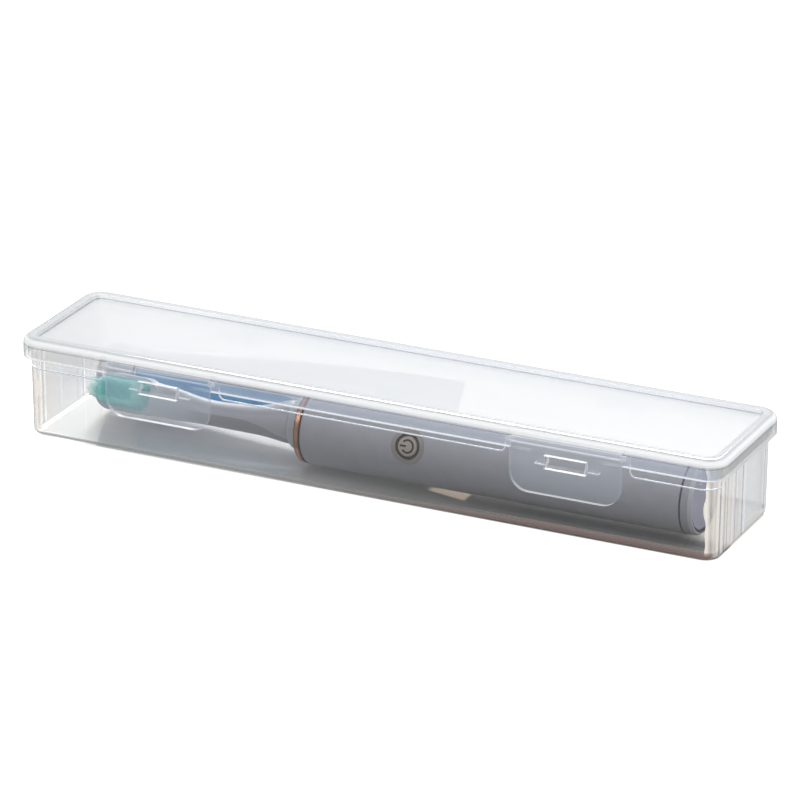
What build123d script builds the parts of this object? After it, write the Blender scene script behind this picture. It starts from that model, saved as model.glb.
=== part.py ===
from build123d import *
import math
import os

# Electric toothbrush travel case in clear polypropylene, with the toothbrush and
# a travel tube of toothpaste lying in it. Millimetres. +X runs along the case from
# the brush head to the handle's foot, -Y is the side with the two latches, +Z is up,
# and the origin is the middle of the base's underside.

# lid
LID_LENGTH = 260.0
LID_WIDTH = 54.6
LID_TOP = 36.4
LID_CORNER = 7.2
LID_EDGE = 2.6
SKIRT_BOTTOM = 29.2
SKIRT_WALL = 1.5
RIM_WIDTH = 4.5
RIM_WALL = 1.3
RIM_CORNER = 3.4
PANEL_TOP = 34.5
PANEL_UNDER = 33.2
CHANNEL_TOP = 34.9

# base
BASE_LENGTH = 255.4
BASE_WIDTH = 49.6
BASE_FOOT_LENGTH = 254.8
BASE_FOOT_WIDTH = 47.9
BASE_TOP = 32.9
BASE_CORNER = 5.4
BASE_FOOT_CORNER = 4.8
BASE_WALL = 1.4
BASE_FLOOR = 1.4
BASE_EDGE = 2.4
BASE_INNER_EDGE = 1.0
BAND_OUT = 0.6
BAND_MIDDLE_BOTTOM = 26.5
BAND_END_BOTTOM = 25.5
BAND_CORNER = 2.0
BAND_MIDDLE_HALF = 52.8
BAND_END_FROM = 97.4
BAND_END_TO = 122.2
BAND_ROOT = 1.0
RIB_PLACES = (-17.4, -2.9, 16.8)
RIB_WIDTH = 1.0
RIB_OUT = 0.5
RIB_ROOT = 0.8
RIB_END_GAP = 1.0
OVERCUT = 1.0

# latch flaps, one each side of the middle
LATCH_PLACE = 75.3
LATCH_WIDTH = 39.6
LATCH_BOTTOM = 14.7
LATCH_CORNER = 6.6
LATCH_WALL = 1.5
LATCH_FACE = -28.0
PIVOT_Y = -26.2
PIVOT_Z = 32.0
PIVOT_BARREL = 1.1
PIVOT_PIN = 0.7
PIVOT_PIN_LENGTH = 1.3
PIVOT_PIN_GAP = 0.2
LATCH_GAP = 0.2
NOTCH_TOP = 33.95
NOTCH_DEPTH = 2.6
EAR_LENGTH = 1.8
EAR_BOTTOM = 30.6
EAR_FACE = -27.1
EAR_ROOT = 0.3
STOP_FROM = 7.2
STOP_TO = 0.6
STOP_LOW = 28.9
STOP_HIGH = 29.5
STOP_OUT = 0.35
STOP_ROOT = 0.3
WINDOW_WIDTH = 15.0
WINDOW_LOW = 24.0
WINDOW_HIGH = 28.6
HOOK_WIDTH = 13.8
HOOK_FACE = -27.7
HOOK_LOW = 24.4
HOOK_HIGH = 28.0
HOOK_LIP = 1.0
CATCH_RIB_WIDTH = 22.8
CATCH_RIB_FACE = -26.2
CATCH_RIB_LOW = 24.3
CATCH_RIB_HIGH = 25.1
WALL_ROOT = 0.9

# hinge at the back
HINGE_Y = 26.7
HINGE_Z = 26.9
HINGE_RADIUS = 1.6
HINGE_PEG = 0.8
HINGE_PEG_GAP = 0.05
HINGE_PLACE = 72.0
HINGE_LID_LENGTH = 7.0
HINGE_BASE_LENGTH = 4.5
HINGE_SIDE_GAP = 0.3

# toothbrush handle, a round tube that lies along X
AXIS_Y = -6.5
AXIS_Z = 14.7
HANDLE_RADIUS = 13.0
HANDLE_BORE = 11.4
HANDLE_FRONT = -25.9
HANDLE_BACK = 112.4
HANDLE_FRONT_EDGE = (0.9, 0.5)
HANDLE_BACK_EDGE = 0.3
TRIM_RADIUS = 12.8
TRIM_FRONT = -28.4
TRIM_BACK = -26.0
TRIM_EDGE = (0.5, 0.35)
SHOULDER_FRONT = -33.3
SHOULDER_FRONT_RADIUS = 7.8
SHOULDER_STEP = -32.2
SHOULDER_STEP_RADIUS = 8.8
SHOULDER_BACK_RADIUS = 10.4
SHOULDER_BORE = 4.0
SHOULDER_PLUG_END = -21.0
CAP_PLUG_START = 107.0
CAP_END = 116.5
CAP_SEAM = 0.1
CAP_SHOULDER = 0.5
CAP_SHOULDER_DROP = 0.35
CAP_SIDE_DROP = 0.05
CAP_END_EDGE = (0.9, 0.2)
CAP_RIM_WIDTH = 0.4
CAP_DISC_SINK = 0.4
CAP_DISC_EDGE = 0.3
CAP_GROOVE_TAPER = 0.2
CAP_RIM_RADIUS = 11.8
CAP_GROOVE_RADIUS = 11.0
CAP_GROOVE_DEPTH = 1.1
SEAL_GROOVE_FROM = 108.8
SEAL_GROOVE_TO = 110.6
SEAL_GROOVE_RADIUS = 10.2
SEAL_END_GAP = 0.1
SEAL_SQUEEZE = 0.02
BUTTON_X = 14.2
BUTTON_TILT = 19.0
BUTTON_RADIUS = 3.35
GROOVE_RADIUS = 4.5
BEZEL_RADIUS = 6.0
BEZEL_PROUD = 0.12
PLATE_PROUD = 0.1
PLATE_GAP = 0.1
GROOVE_GAP = 0.01
GROOVE_SINK = 0.5
PRESS_FROM = 8.0
PRESS_TO = 15.0
SADDLE_HALF = 10.0
FIT = 0.05

# inside the handle
SEAL_LIP_START = -32.7
SEAL_LIP_END = -27.0
MOTOR_START = -20.0
MOTOR_END = 3.0
MOTOR_RADIUS = 10.6
MOTOR_EDGE = 0.8
MOTOR_BORE_EXTRA = 0.3
CHASSIS_START = 5.0
CHASSIS_END = 88.0
CHASSIS_RADIUS = 11.1
CHASSIS_BORE = 9.6
CHASSIS_HALF = 8.4
CHASSIS_PLATE = (5.2, 6.0)
BOARD_START = 7.0
BOARD_END = 72.0
BOARD_HALF = 7.0
BOARD_LEVELS = (6.05, 7.65)
SWITCH_HALF = 3.0
SWITCH_LEVELS = (7.7, 8.9)
SWITCH_STEM_RADIUS = 1.5
SWITCH_STEM_TOP = 9.3
BUTTON_STEM_RADIUS = 1.4
BUTTON_STEM_FOOT = 10.25
BUTTON_STEM_TOP = 12.0
BATTERY_START = 24.0
BATTERY_END = 72.6
BATTERY_TIP = 74.0
BATTERY_RADIUS = 7.0
BATTERY_TIP_RADIUS = 2.6
BATTERY_LEVEL = -2.4
BOBBIN_START = 90.0
BOBBIN_END = 106.0
BOBBIN_CORE = 5.0
BOBBIN_RADIUS = 10.8
BOBBIN_CHEEK = 1.4
COIL_RADIUS = 9.9
COIL_GAP = 0.1

# brush head
SHAFT_RADIUS = 1.6
SHAFT_TIP = -48.5
SHAFT_ROOT = -14.0
SHAFT_EDGE = 0.8
SHAFT_FLAT = 1.2
SHAFT_FLAT_LENGTH = 9.0
LINER_RADIUS = 2.53
HEAD_BASE = -33.6
HEAD_TILT = 22.0
HEAD_PLACE = -96.8
HEAD_SINK_Y = -1.2
HEAD_SINK_Z = -0.2
PLATE_STRAIGHT = 11.6
PLATE_WIDTH = 12.8
PLATE_BACK = -3.0
PLATE_FRONT = 2.4
TUFT_RADIUS = 0.82
TUFT_GAP = 0.02
LINER_GAP = 0.02
LINER_FRONT = -49.6
LINER_BACK = -34.0
TUFT_ROOT = 1.6
TUFT_LENGTH = 9.6
TUFT_ALONG = 2.35
TUFT_ACROSS = 2.15

# the neck, from its mouth to the bristle plate: x, half its width, half its depth,
# and how far its middle lies in front of and below the handle's axis
NECK_SECTIONS = (
    (HEAD_BASE, 7.4, 7.39, 0.0, 0.0),
    (-40.0, 6.4, 6.39, -0.42, -0.5),
    (-48.0, 5.0, 4.99, -0.96, -1.2),
    (-58.0, 4.5, 4.49, -1.2, -1.6),
    (-67.0, 4.45, 4.2, -1.2, -1.6),
    (-75.0, 5.1, 3.8, -1.2, -1.15),
    (-81.0, 5.6, 3.4, -1.2, -0.75),
    (-88.0, 6.1, 3.0, -1.2, -0.4),
)

# toothpaste travel tube
TUBE_Y = 11.0
TUBE_Z = 13.3
TUBE_RADIUS = 11.5
TUBE_START = -99.0
TUBE_CRIMP_START = 9.0
TUBE_END = 16.5
TUBE_CAP_FRONT = -115.3
TUBE_CAP_BACK = -101.2
TUBE_CAP_RADIUS = 10.3
CRIMP_TOP_Y = 22.0
CRIMP_TOP_Z = 28.0
CRIMP_WIDTH = 31.0
CRIMP_LEAN = 54.5
CRIMP_THICK = 1.1
TUBE_STEPS = 6
SHOULDER_GAP = 0.02
SHOULDER_EDGE = (0.8, 0.2)
TUBE_SHOULDER_LENGTH = 1.9
TUBE_NECK_RADIUS = 7.0
TUBE_NECK_END = -112.0
CAP_ROOF = -112.4
CAP_RIBS = 24
CAP_RIB_RADIUS = 0.7
CAP_RIB_SINK = 0.75
CAP_RIB_START = 1.5
CAP_FRONT_EDGE = (1.6, 0.9)
CAP_FRONT_CURVE = 0.5
CAP_SKIRT_DROP = 0.3
CAP_THREAD_GAP = 0.06


def rounded_plate(length, width, corner, low, high):
    outline = Plane.XY.offset(low) * RectangleRounded(length, width, corner)
    return extrude(outline, amount=high - low)


def block(x0, x1, y0, y1, z0, z1):
    centre = ((x0 + x1) / 2, (y0 + y1) / 2, (z0 + z1) / 2)
    return Pos(*centre) * Box(x1 - x0, y1 - y0, z1 - z0)


def rod(x0, x1, radius, y=AXIS_Y, z=AXIS_Z):
    """A round bar along X from x0 to x1."""
    return Pos((x0 + x1) / 2, y, z) * Rot(0, 90, 0) * Cylinder(radius, x1 - x0)


def pipe(x0, x1, outer, inner, y=AXIS_Y, z=AXIS_Z):
    return rod(x0, x1, outer, y, z) - rod(x0 - OVERCUT, x1 + OVERCUT, inner, y, z)


def turned(profile, y=AXIS_Y, z=AXIS_Z):
    """Turns a profile of (x, radius) points about a line along X."""
    points = [(x, z + r) for x, r in profile]
    face = Plane.XZ.offset(-y) * make_face(Polyline(*points, close=True))
    return revolve(face, axis=Axis((0, y, z), (1, 0, 0)), revolution_arc=360)


def button_frame(x, distance):
    """A plane square to the button's press direction, that far from the axis."""
    tilt = math.radians(BUTTON_TILT)
    out = (0, -math.cos(tilt), math.sin(tilt))
    origin = (x, AXIS_Y + distance * out[1], AXIS_Z + distance * out[2])
    return Plane(origin=origin, x_dir=(1, 0, 0), z_dir=out)


def button_bar(radius, low, high, x=BUTTON_X):
    """A round bar along the press direction, between two distances from the axis."""
    return extrude(button_frame(x, low) * Circle(radius), amount=high - low)


def button_block(x0, x1, half_width, low, high):
    frame = button_frame((x0 + x1) / 2, low)
    return extrude(frame * Rectangle(x1 - x0, 2 * half_width), amount=high - low)


# ---- case base

def tapered_tray(inset, low):
    """The base's outer form, or its inside when inset by the wall."""
    share = low / BASE_TOP
    length = BASE_FOOT_LENGTH + (BASE_LENGTH - BASE_FOOT_LENGTH) * share - 2 * inset
    width = BASE_FOOT_WIDTH + (BASE_WIDTH - BASE_FOOT_WIDTH) * share - 2 * inset
    corner = BASE_FOOT_CORNER + (BASE_CORNER - BASE_FOOT_CORNER) * share - inset
    foot = Plane.XY.offset(low) * RectangleRounded(length, width, corner)
    mouth_size = (BASE_LENGTH - 2 * inset, BASE_WIDTH - 2 * inset)
    mouth = RectangleRounded(*mouth_size, BASE_CORNER - inset)
    return loft([foot, Plane.XY.offset(BASE_TOP) * mouth])


def front_band(x0, x1, bottom):
    """A shallow step on the front wall that reaches up behind the lid's skirt."""
    face = -BASE_WIDTH / 2 - BAND_OUT
    band = block(x0, x1, face, -BASE_WIDTH / 2 + BAND_ROOT, bottom, BASE_TOP)
    low = band.edges().filter_by(Axis.Y).group_by(Axis.Z)[0]
    return fillet(low, BAND_CORNER)


def catch(side):
    """The ledge and hooked nose that a latch flap's window snaps over."""
    x = side * LATCH_PLACE
    wall = -BASE_WIDTH / 2 + WALL_ROOT
    half = CATCH_RIB_WIDTH / 2
    ledge = block(x - half, x + half, CATCH_RIB_FACE, wall, CATCH_RIB_LOW, CATCH_RIB_HIGH)
    nose_side = Plane.YZ.offset(x - HOOK_WIDTH / 2) * make_face(
        Polyline(
            (wall, HOOK_LOW),
            (HOOK_FACE, HOOK_LOW),
            (HOOK_FACE, HOOK_LOW + HOOK_LIP),
            (CATCH_RIB_FACE, HOOK_HIGH),
            (wall, HOOK_HIGH),
            close=True,
        )
    )
    return ledge + extrude(nose_side, amount=HOOK_WIDTH)


def base_knuckles(place):
    """Two hinge eyes on the back wall, each with a foot into the wall."""
    eyes = []
    start = HINGE_LID_LENGTH / 2 + HINGE_SIDE_GAP
    bore = HINGE_PEG + HINGE_PEG_GAP
    for side in (-1, 1):
        ends = sorted((place + side * start, place + side * (start + HINGE_BASE_LENGTH)))
        eye = rod(*ends, HINGE_RADIUS, HINGE_Y, HINGE_Z)
        foot = block(*ends, BASE_WIDTH / 2 - WALL_ROOT, HINGE_Y, HINGE_Z - HINGE_RADIUS, HINGE_Z)
        drilled = eye + foot - rod(ends[0] - OVERCUT, ends[1] + OVERCUT, bore, HINGE_Y, HINGE_Z)
        eyes.append(drilled)
    return eyes


def end_ribs():
    """Upright ribs inside both end walls."""
    ribs = []
    face = BASE_FOOT_LENGTH / 2 - BASE_WALL
    for side in (-1, 1):
        for y in RIB_PLACES:
            ends = sorted((side * (face - RIB_OUT), side * (face + RIB_ROOT)))
            sides = (y - RIB_WIDTH / 2, y + RIB_WIDTH / 2)
            ribs.append(block(*ends, *sides, RIB_END_GAP, BASE_TOP - RIB_END_GAP))
    return ribs


def base_tray():
    outer = tapered_tray(0, 0)
    outer = fillet(outer.faces().sort_by(Axis.Z)[0].edges(), BASE_EDGE)
    inner = tapered_tray(BASE_WALL, BASE_FLOOR)
    inner = fillet(inner.faces().sort_by(Axis.Z)[0].edges(), BASE_INNER_EDGE)
    bands = [
        front_band(-BAND_MIDDLE_HALF, BAND_MIDDLE_HALF, BAND_MIDDLE_BOTTOM),
        front_band(-BAND_END_TO, -BAND_END_FROM, BAND_END_BOTTOM),
        front_band(BAND_END_FROM, BAND_END_TO, BAND_END_BOTTOM),
    ]
    tray = outer
    for piece in bands:
        tray += piece
    tray -= inner
    for side in (-1, 1):
        tray += catch(side)
        for eye in base_knuckles(side * HINGE_PLACE):
            tray += eye
    for rib in end_ribs():
        tray += rib
    return tray


# ---- case lid

def lid_knuckle(place):
    """The lid's hinge barrel, with a peg at each end that turns in the base's eyes."""
    half = HINGE_LID_LENGTH / 2
    peg = half + HINGE_SIDE_GAP + HINGE_BASE_LENGTH
    barrel = rod(place - half, place + half, HINGE_RADIUS, HINGE_Y, HINGE_Z)
    skirt_in = LID_WIDTH / 2 - SKIRT_WALL
    arm = block(place - half, place + half, skirt_in, LID_WIDTH / 2, HINGE_Z, SKIRT_BOTTOM + SKIRT_WALL)
    return barrel + arm + rod(place - peg, place + peg, HINGE_PEG, HINGE_Y, HINGE_Z)


def latch_notch(side):
    """The gap in the skirt for a flap."""
    x = side * LATCH_PLACE
    half = LATCH_WIDTH / 2 + LATCH_GAP
    front = -LID_WIDTH / 2 - OVERCUT
    back = -LID_WIDTH / 2 + NOTCH_DEPTH
    return block(x - half, x + half, front, back, SKIRT_BOTTOM - OVERCUT, NOTCH_TOP)


def pivot_ears(side):
    """Thick spots beside the notch that take the flap's pins."""
    x = side * LATCH_PLACE
    half = LATCH_WIDTH / 2 + LATCH_GAP
    inner = PIVOT_Y + PIVOT_BARREL
    ears = []
    for end in (-1, 1):
        ends = sorted((x + end * half, x + end * (half + EAR_LENGTH)))
        ears.append(block(*ends, EAR_FACE, inner, EAR_BOTTOM, CHANNEL_TOP + EAR_ROOT))
    return ears


def pivot_holes(side):
    x = side * LATCH_PLACE
    reach = LATCH_WIDTH / 2 + PIVOT_PIN_LENGTH + PIVOT_PIN_GAP
    return rod(x - reach, x + reach, PIVOT_PIN + FIT, PIVOT_Y, PIVOT_Z)


def lid():
    shell = rounded_plate(LID_LENGTH, LID_WIDTH, LID_CORNER, SKIRT_BOTTOM, LID_TOP)
    shell = fillet(shell.faces().sort_by(Axis.Z)[-1].edges(), LID_EDGE)
    rim_length = LID_LENGTH - 2 * RIM_WIDTH
    rim_width = LID_WIDTH - 2 * RIM_WIDTH
    shell -= rounded_plate(rim_length, rim_width, RIM_CORNER, PANEL_TOP, LID_TOP + OVERCUT)
    skirt_in = 2 * SKIRT_WALL
    inside = (LID_LENGTH - skirt_in, LID_WIDTH - skirt_in, LID_CORNER - SKIRT_WALL)
    shell -= rounded_plate(*inside, SKIRT_BOTTOM - OVERCUT, PANEL_UNDER)
    channel = rounded_plate(*inside, PANEL_UNDER - OVERCUT / 2, CHANNEL_TOP)
    core = (rim_length + 2 * RIM_WALL, rim_width + 2 * RIM_WALL, RIM_CORNER + RIM_WALL)
    channel -= rounded_plate(*core, PANEL_UNDER - OVERCUT, CHANNEL_TOP + OVERCUT)
    shell -= channel
    for side in (-1, 1):
        shell -= latch_notch(side)
        for ear in pivot_ears(side):
            shell += ear
        shell -= pivot_holes(side)
        shell += lid_knuckle(side * HINGE_PLACE)
    return shell


# ---- latch flaps

def latch_flap(side):
    """A flap with a snap window, a barrel along its top and a pin at each end."""
    x = side * LATCH_PLACE
    half = LATCH_WIDTH / 2
    back = LATCH_FACE + LATCH_WALL
    plate = block(x - half, x + half, LATCH_FACE, back, LATCH_BOTTOM, PIVOT_Z)
    low = plate.edges().filter_by(Axis.Y).group_by(Axis.Z)[0]
    plate = fillet(low, LATCH_CORNER)
    flap = plate + rod(x - half, x + half, PIVOT_BARREL, PIVOT_Y, PIVOT_Z)
    window = WINDOW_WIDTH / 2
    flap -= block(x - window, x + window, LATCH_FACE - OVERCUT, back + OVERCUT, WINDOW_LOW, WINDOW_HIGH)
    reach = half + PIVOT_PIN_LENGTH
    flap += rod(x - reach, x + reach, PIVOT_PIN, PIVOT_Y, PIVOT_Z)
    for end in (-1, 1):
        ends = sorted((x + end * (half - STOP_FROM), x + end * (half - STOP_TO)))
        flap += block(*ends, back - STOP_ROOT, back + STOP_OUT, STOP_LOW, STOP_HIGH)
    return flap


# ---- toothbrush handle

def handle_shell():
    shell = turned([
        (HANDLE_FRONT, HANDLE_BORE),
        (HANDLE_FRONT, HANDLE_RADIUS - HANDLE_FRONT_EDGE[1]),
        (HANDLE_FRONT + HANDLE_FRONT_EDGE[0], HANDLE_RADIUS),
        (HANDLE_BACK - HANDLE_BACK_EDGE, HANDLE_RADIUS),
        (HANDLE_BACK, HANDLE_RADIUS - HANDLE_BACK_EDGE),
        (HANDLE_BACK, HANDLE_BORE),
    ])
    return shell - button_bar(BEZEL_RADIUS + FIT, PRESS_FROM - 3 * OVERCUT, PRESS_TO)


def shoulder_cap():
    """The cone that closes the handle's front, with a plug into the tube."""
    return turned([
        (SHOULDER_FRONT, SHOULDER_BORE),
        (SHOULDER_FRONT, SHOULDER_FRONT_RADIUS),
        (SHOULDER_STEP, SHOULDER_STEP_RADIUS),
        (TRIM_FRONT, SHOULDER_BACK_RADIUS),
        (TRIM_FRONT, HANDLE_BORE - FIT),
        (SHOULDER_PLUG_END, HANDLE_BORE - FIT),
        (SHOULDER_PLUG_END, SHOULDER_BORE),
    ])


def trim_ring():
    """A metal hoop between the cone and the handle's tube."""
    return turned([
        (TRIM_FRONT, HANDLE_BORE),
        (TRIM_FRONT, TRIM_RADIUS - TRIM_EDGE[1]),
        (TRIM_FRONT + TRIM_EDGE[0], TRIM_RADIUS),
        (TRIM_BACK - TRIM_EDGE[0], TRIM_RADIUS),
        (TRIM_BACK, TRIM_RADIUS - TRIM_EDGE[1]),
        (TRIM_BACK, HANDLE_BORE),
    ])


def base_cap():
    """The foot of the handle: a plug with a seal groove and a dished end."""
    return turned([
        (CAP_PLUG_START, 0.0),
        (CAP_PLUG_START, HANDLE_BORE - FIT),
        (SEAL_GROOVE_FROM, HANDLE_BORE - FIT),
        (SEAL_GROOVE_FROM, SEAL_GROOVE_RADIUS),
        (SEAL_GROOVE_TO, SEAL_GROOVE_RADIUS),
        (SEAL_GROOVE_TO, HANDLE_BORE - FIT),
        (HANDLE_BACK + CAP_SEAM, HANDLE_BORE - FIT),
        (HANDLE_BACK + CAP_SEAM, HANDLE_RADIUS - CAP_SHOULDER_DROP),
        (HANDLE_BACK + CAP_SHOULDER, HANDLE_RADIUS - CAP_SIDE_DROP),
        (CAP_END - CAP_END_EDGE[0], HANDLE_RADIUS - CAP_END_EDGE[1]),
        (CAP_END, CAP_RIM_RADIUS + CAP_RIM_WIDTH),
        (CAP_END, CAP_RIM_RADIUS),
        (CAP_END - CAP_GROOVE_DEPTH, CAP_RIM_RADIUS - CAP_GROOVE_TAPER),
        (CAP_END - CAP_GROOVE_DEPTH, CAP_GROOVE_RADIUS),
        (CAP_END - CAP_DISC_SINK, CAP_GROOVE_RADIUS - CAP_DISC_EDGE),
        (CAP_END - CAP_DISC_SINK, 0.0),
    ])


def base_seal():
    ends = (SEAL_GROOVE_FROM + SEAL_END_GAP, SEAL_GROOVE_TO - SEAL_END_GAP)
    return pipe(*ends, HANDLE_BORE - SEAL_SQUEEZE, SEAL_GROOVE_RADIUS + FIT)


def shaft_seal():
    """The rubber lip seal that the drive shaft turns in."""
    return pipe(SEAL_LIP_START, SEAL_LIP_END, SHOULDER_BORE, SHAFT_RADIUS + FIT)


def motor():
    body = turned([
        (MOTOR_START, 0.0),
        (MOTOR_START, MOTOR_RADIUS - MOTOR_EDGE),
        (MOTOR_START + MOTOR_EDGE, MOTOR_RADIUS),
        (MOTOR_END - MOTOR_EDGE, MOTOR_RADIUS),
        (MOTOR_END, MOTOR_RADIUS - MOTOR_EDGE),
        (MOTOR_END, 0.0),
    ])
    return body - rod(MOTOR_START - OVERCUT, SHAFT_ROOT + MOTOR_BORE_EXTRA, SHAFT_RADIUS + FIT)


def drive_shaft():
    shaft = turned([
        (SHAFT_TIP, 0.0),
        (SHAFT_TIP, SHAFT_RADIUS - SHAFT_EDGE / 2),
        (SHAFT_TIP + SHAFT_EDGE, SHAFT_RADIUS),
        (SHAFT_ROOT, SHAFT_RADIUS),
        (SHAFT_ROOT, 0.0),
    ])
    ends = (SHAFT_TIP - OVERCUT, SHAFT_TIP + SHAFT_FLAT_LENGTH)
    wide = 2 * SHAFT_RADIUS
    return shaft - block(*ends, AXIS_Y - wide, AXIS_Y + wide, AXIS_Z + SHAFT_FLAT, AXIS_Z + wide)


def chassis():
    """The carrier inside the handle: a cradle for the cell under a plate for the board."""
    ends = (CHASSIS_START, CHASSIS_END)
    above = button_block(ends[0] - OVERCUT, ends[1] + OVERCUT, PRESS_TO, CHASSIS_PLATE[1], PRESS_TO)
    cradle = pipe(*ends, CHASSIS_RADIUS, CHASSIS_BORE) - above
    return cradle + button_block(*ends, CHASSIS_HALF, *CHASSIS_PLATE)


def circuit_board():
    return button_block(BOARD_START, BOARD_END, BOARD_HALF, *BOARD_LEVELS)


def power_switch():
    """The tact switch under the button."""
    ends = (BUTTON_X - SWITCH_HALF, BUTTON_X + SWITCH_HALF)
    body = button_block(*ends, SWITCH_HALF, *SWITCH_LEVELS)
    return body + button_bar(SWITCH_STEM_RADIUS, SWITCH_LEVELS[1] - FIT, SWITCH_STEM_TOP)


def battery():
    centre = button_frame(0, BATTERY_LEVEL).origin
    can = rod(BATTERY_START, BATTERY_END, BATTERY_RADIUS, centre.Y, centre.Z)
    return can + rod(BATTERY_END, BATTERY_TIP, BATTERY_TIP_RADIUS, centre.Y, centre.Z)


def coil_bobbin():
    front = rod(BOBBIN_START, BOBBIN_START + BOBBIN_CHEEK, BOBBIN_RADIUS)
    back = rod(BOBBIN_END - BOBBIN_CHEEK, BOBBIN_END, BOBBIN_RADIUS)
    return rod(BOBBIN_START, BOBBIN_END, BOBBIN_CORE) + front + back


def charging_coil():
    gap = BOBBIN_CHEEK + COIL_GAP
    return pipe(BOBBIN_START + gap, BOBBIN_END - gap, COIL_RADIUS, BOBBIN_CORE + FIT)


def saddle(outer, inner):
    """A length of tube about the handle's axis, to cut rings that follow its surface."""
    return pipe(BUTTON_X - SADDLE_HALF, BUTTON_X + SADDLE_HALF, outer, inner)


def button_bezel():
    ring = button_bar(BEZEL_RADIUS, PRESS_FROM, PRESS_TO)
    ring -= button_bar(GROOVE_RADIUS, PRESS_FROM - OVERCUT, PRESS_TO + OVERCUT)
    return ring & saddle(HANDLE_RADIUS + BEZEL_PROUD, HANDLE_BORE)


def button_seal():
    """The dark membrane round the button, a little below the surface."""
    ring = button_bar(GROOVE_RADIUS - GROOVE_GAP, PRESS_FROM, PRESS_TO)
    ring -= button_bar(BUTTON_RADIUS + PLATE_GAP, PRESS_FROM - OVERCUT, PRESS_TO + OVERCUT)
    return ring & saddle(HANDLE_RADIUS - GROOVE_SINK, HANDLE_BORE)


def power_button():
    plate = button_bar(BUTTON_RADIUS, PRESS_FROM, PRESS_TO)
    plate &= saddle(HANDLE_RADIUS + PLATE_PROUD, HANDLE_BORE)
    return plate + button_bar(BUTTON_STEM_RADIUS, BUTTON_STEM_FOOT, BUTTON_STEM_TOP)


# ---- brush head

def head_section(x, half_width, half_depth, forward, drop):
    """An oval across the neck; its long side runs along the bristle plate's width."""
    tilt = math.radians(HEAD_TILT)
    across = (0, math.sin(tilt), math.cos(tilt))
    frame = Plane(origin=(x, AXIS_Y + forward, AXIS_Z + drop), x_dir=across, z_dir=(-1, 0, 0))
    return frame * Ellipse(half_width, half_depth)


def brush_neck():
    return loft([head_section(*section) for section in NECK_SECTIONS])


def head_frame(distance):
    """A plane parallel to the bristle plate, that far in front of its middle."""
    tilt = math.radians(HEAD_TILT)
    out = (0, -math.cos(tilt), math.sin(tilt))
    y = AXIS_Y + HEAD_SINK_Y + distance * out[1]
    z = AXIS_Z + HEAD_SINK_Z + distance * out[2]
    return Plane(origin=(HEAD_PLACE, y, z), x_dir=(1, 0, 0), z_dir=out)


def brush_plate():
    """The flat end that carries the tufts, rounded at its tip."""
    outline = head_frame(PLATE_BACK) * SlotCenterToCenter(PLATE_STRAIGHT, PLATE_WIDTH)
    return extrude(outline, amount=PLATE_FRONT - PLATE_BACK)


def tuft_places():
    """Tuft centres on the plate: rows across, with short rows at the ends."""
    rows = []
    for column in range(-4, 4):
        x = (column + 0.5) * TUFT_ALONG
        count = 3 if column in (-4, 3) else 5
        for place in range(count):
            v = (place - (count - 1) / 2) * TUFT_ACROSS
            rows.append((x, v))
    return rows


def is_centre_tuft(x, v):
    return abs(x) < 3 * TUFT_ALONG and abs(v) < 1.5 * TUFT_ACROSS


def tufts(radius, centre):
    pegs = []
    for x, v in tuft_places():
        if is_centre_tuft(x, v) == centre:
            start = head_frame(PLATE_FRONT - TUFT_ROOT)
            length = TUFT_ROOT + TUFT_LENGTH
            pegs.append(extrude(start * Pos(x, v) * Circle(radius), amount=length))
    return pegs


def brush_head():
    head = brush_neck() + brush_plate()
    for centre in (True, False):
        for peg in tufts(TUFT_RADIUS + TUFT_GAP, centre):
            head -= peg
    return head - rod(LINER_FRONT - LINER_GAP, HEAD_BASE + OVERCUT, LINER_RADIUS + LINER_GAP)


def head_insert():
    """The hard liner in the neck that grips the drive shaft."""
    return pipe(LINER_FRONT, LINER_BACK, LINER_RADIUS, SHAFT_RADIUS + FIT)


# ---- toothpaste tube

def crimp_centre():
    lean = math.radians(CRIMP_LEAN)
    y = CRIMP_TOP_Y - math.cos(lean) * CRIMP_WIDTH / 2
    z = CRIMP_TOP_Z - math.sin(lean) * CRIMP_WIDTH / 2
    return y, z


def tube_section(x, share):
    """The tube's cross-section: round at its shoulder, flat at its crimp."""
    flat_y, flat_z = crimp_centre()
    y = TUBE_Y + (flat_y - TUBE_Y) * share
    z = TUBE_Z + (flat_z - TUBE_Z) * share
    thick = TUBE_RADIUS * (1 - share) ** 1.5 + share * CRIMP_THICK / 2
    wide = TUBE_RADIUS + (CRIMP_WIDTH / 2 - TUBE_RADIUS) * math.sin(share * math.pi / 2)
    lean = math.radians(CRIMP_LEAN)
    along = (0, math.cos(lean), math.sin(lean))
    frame = Plane(origin=(x, y, z), x_dir=along, z_dir=(1, 0, 0))
    return frame * Ellipse(max(wide, thick + 0.001), thick)


def tube_body():
    sections = []
    for step in range(TUBE_STEPS + 1):
        share = step / TUBE_STEPS
        x = TUBE_START + (TUBE_CRIMP_START - TUBE_START) * share
        sections.append(tube_section(x, share))
    flat = tube_section(TUBE_END, 1.0)
    return loft(sections) + loft([sections[-1], flat])


def tube_shoulder():
    """The stiff moulded shoulder and threaded neck at the tube's mouth."""
    return turned([
        (TUBE_START - SHOULDER_GAP, 0.0),
        (TUBE_START - SHOULDER_GAP, TUBE_RADIUS - SHOULDER_EDGE[1]),
        (TUBE_START - SHOULDER_EDGE[0], TUBE_RADIUS - 2 * SHOULDER_EDGE[1]),
        (TUBE_START - TUBE_SHOULDER_LENGTH, TUBE_NECK_RADIUS),
        (TUBE_NECK_END, TUBE_NECK_RADIUS),
        (TUBE_NECK_END, 0.0),
    ], TUBE_Y, TUBE_Z)


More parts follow.
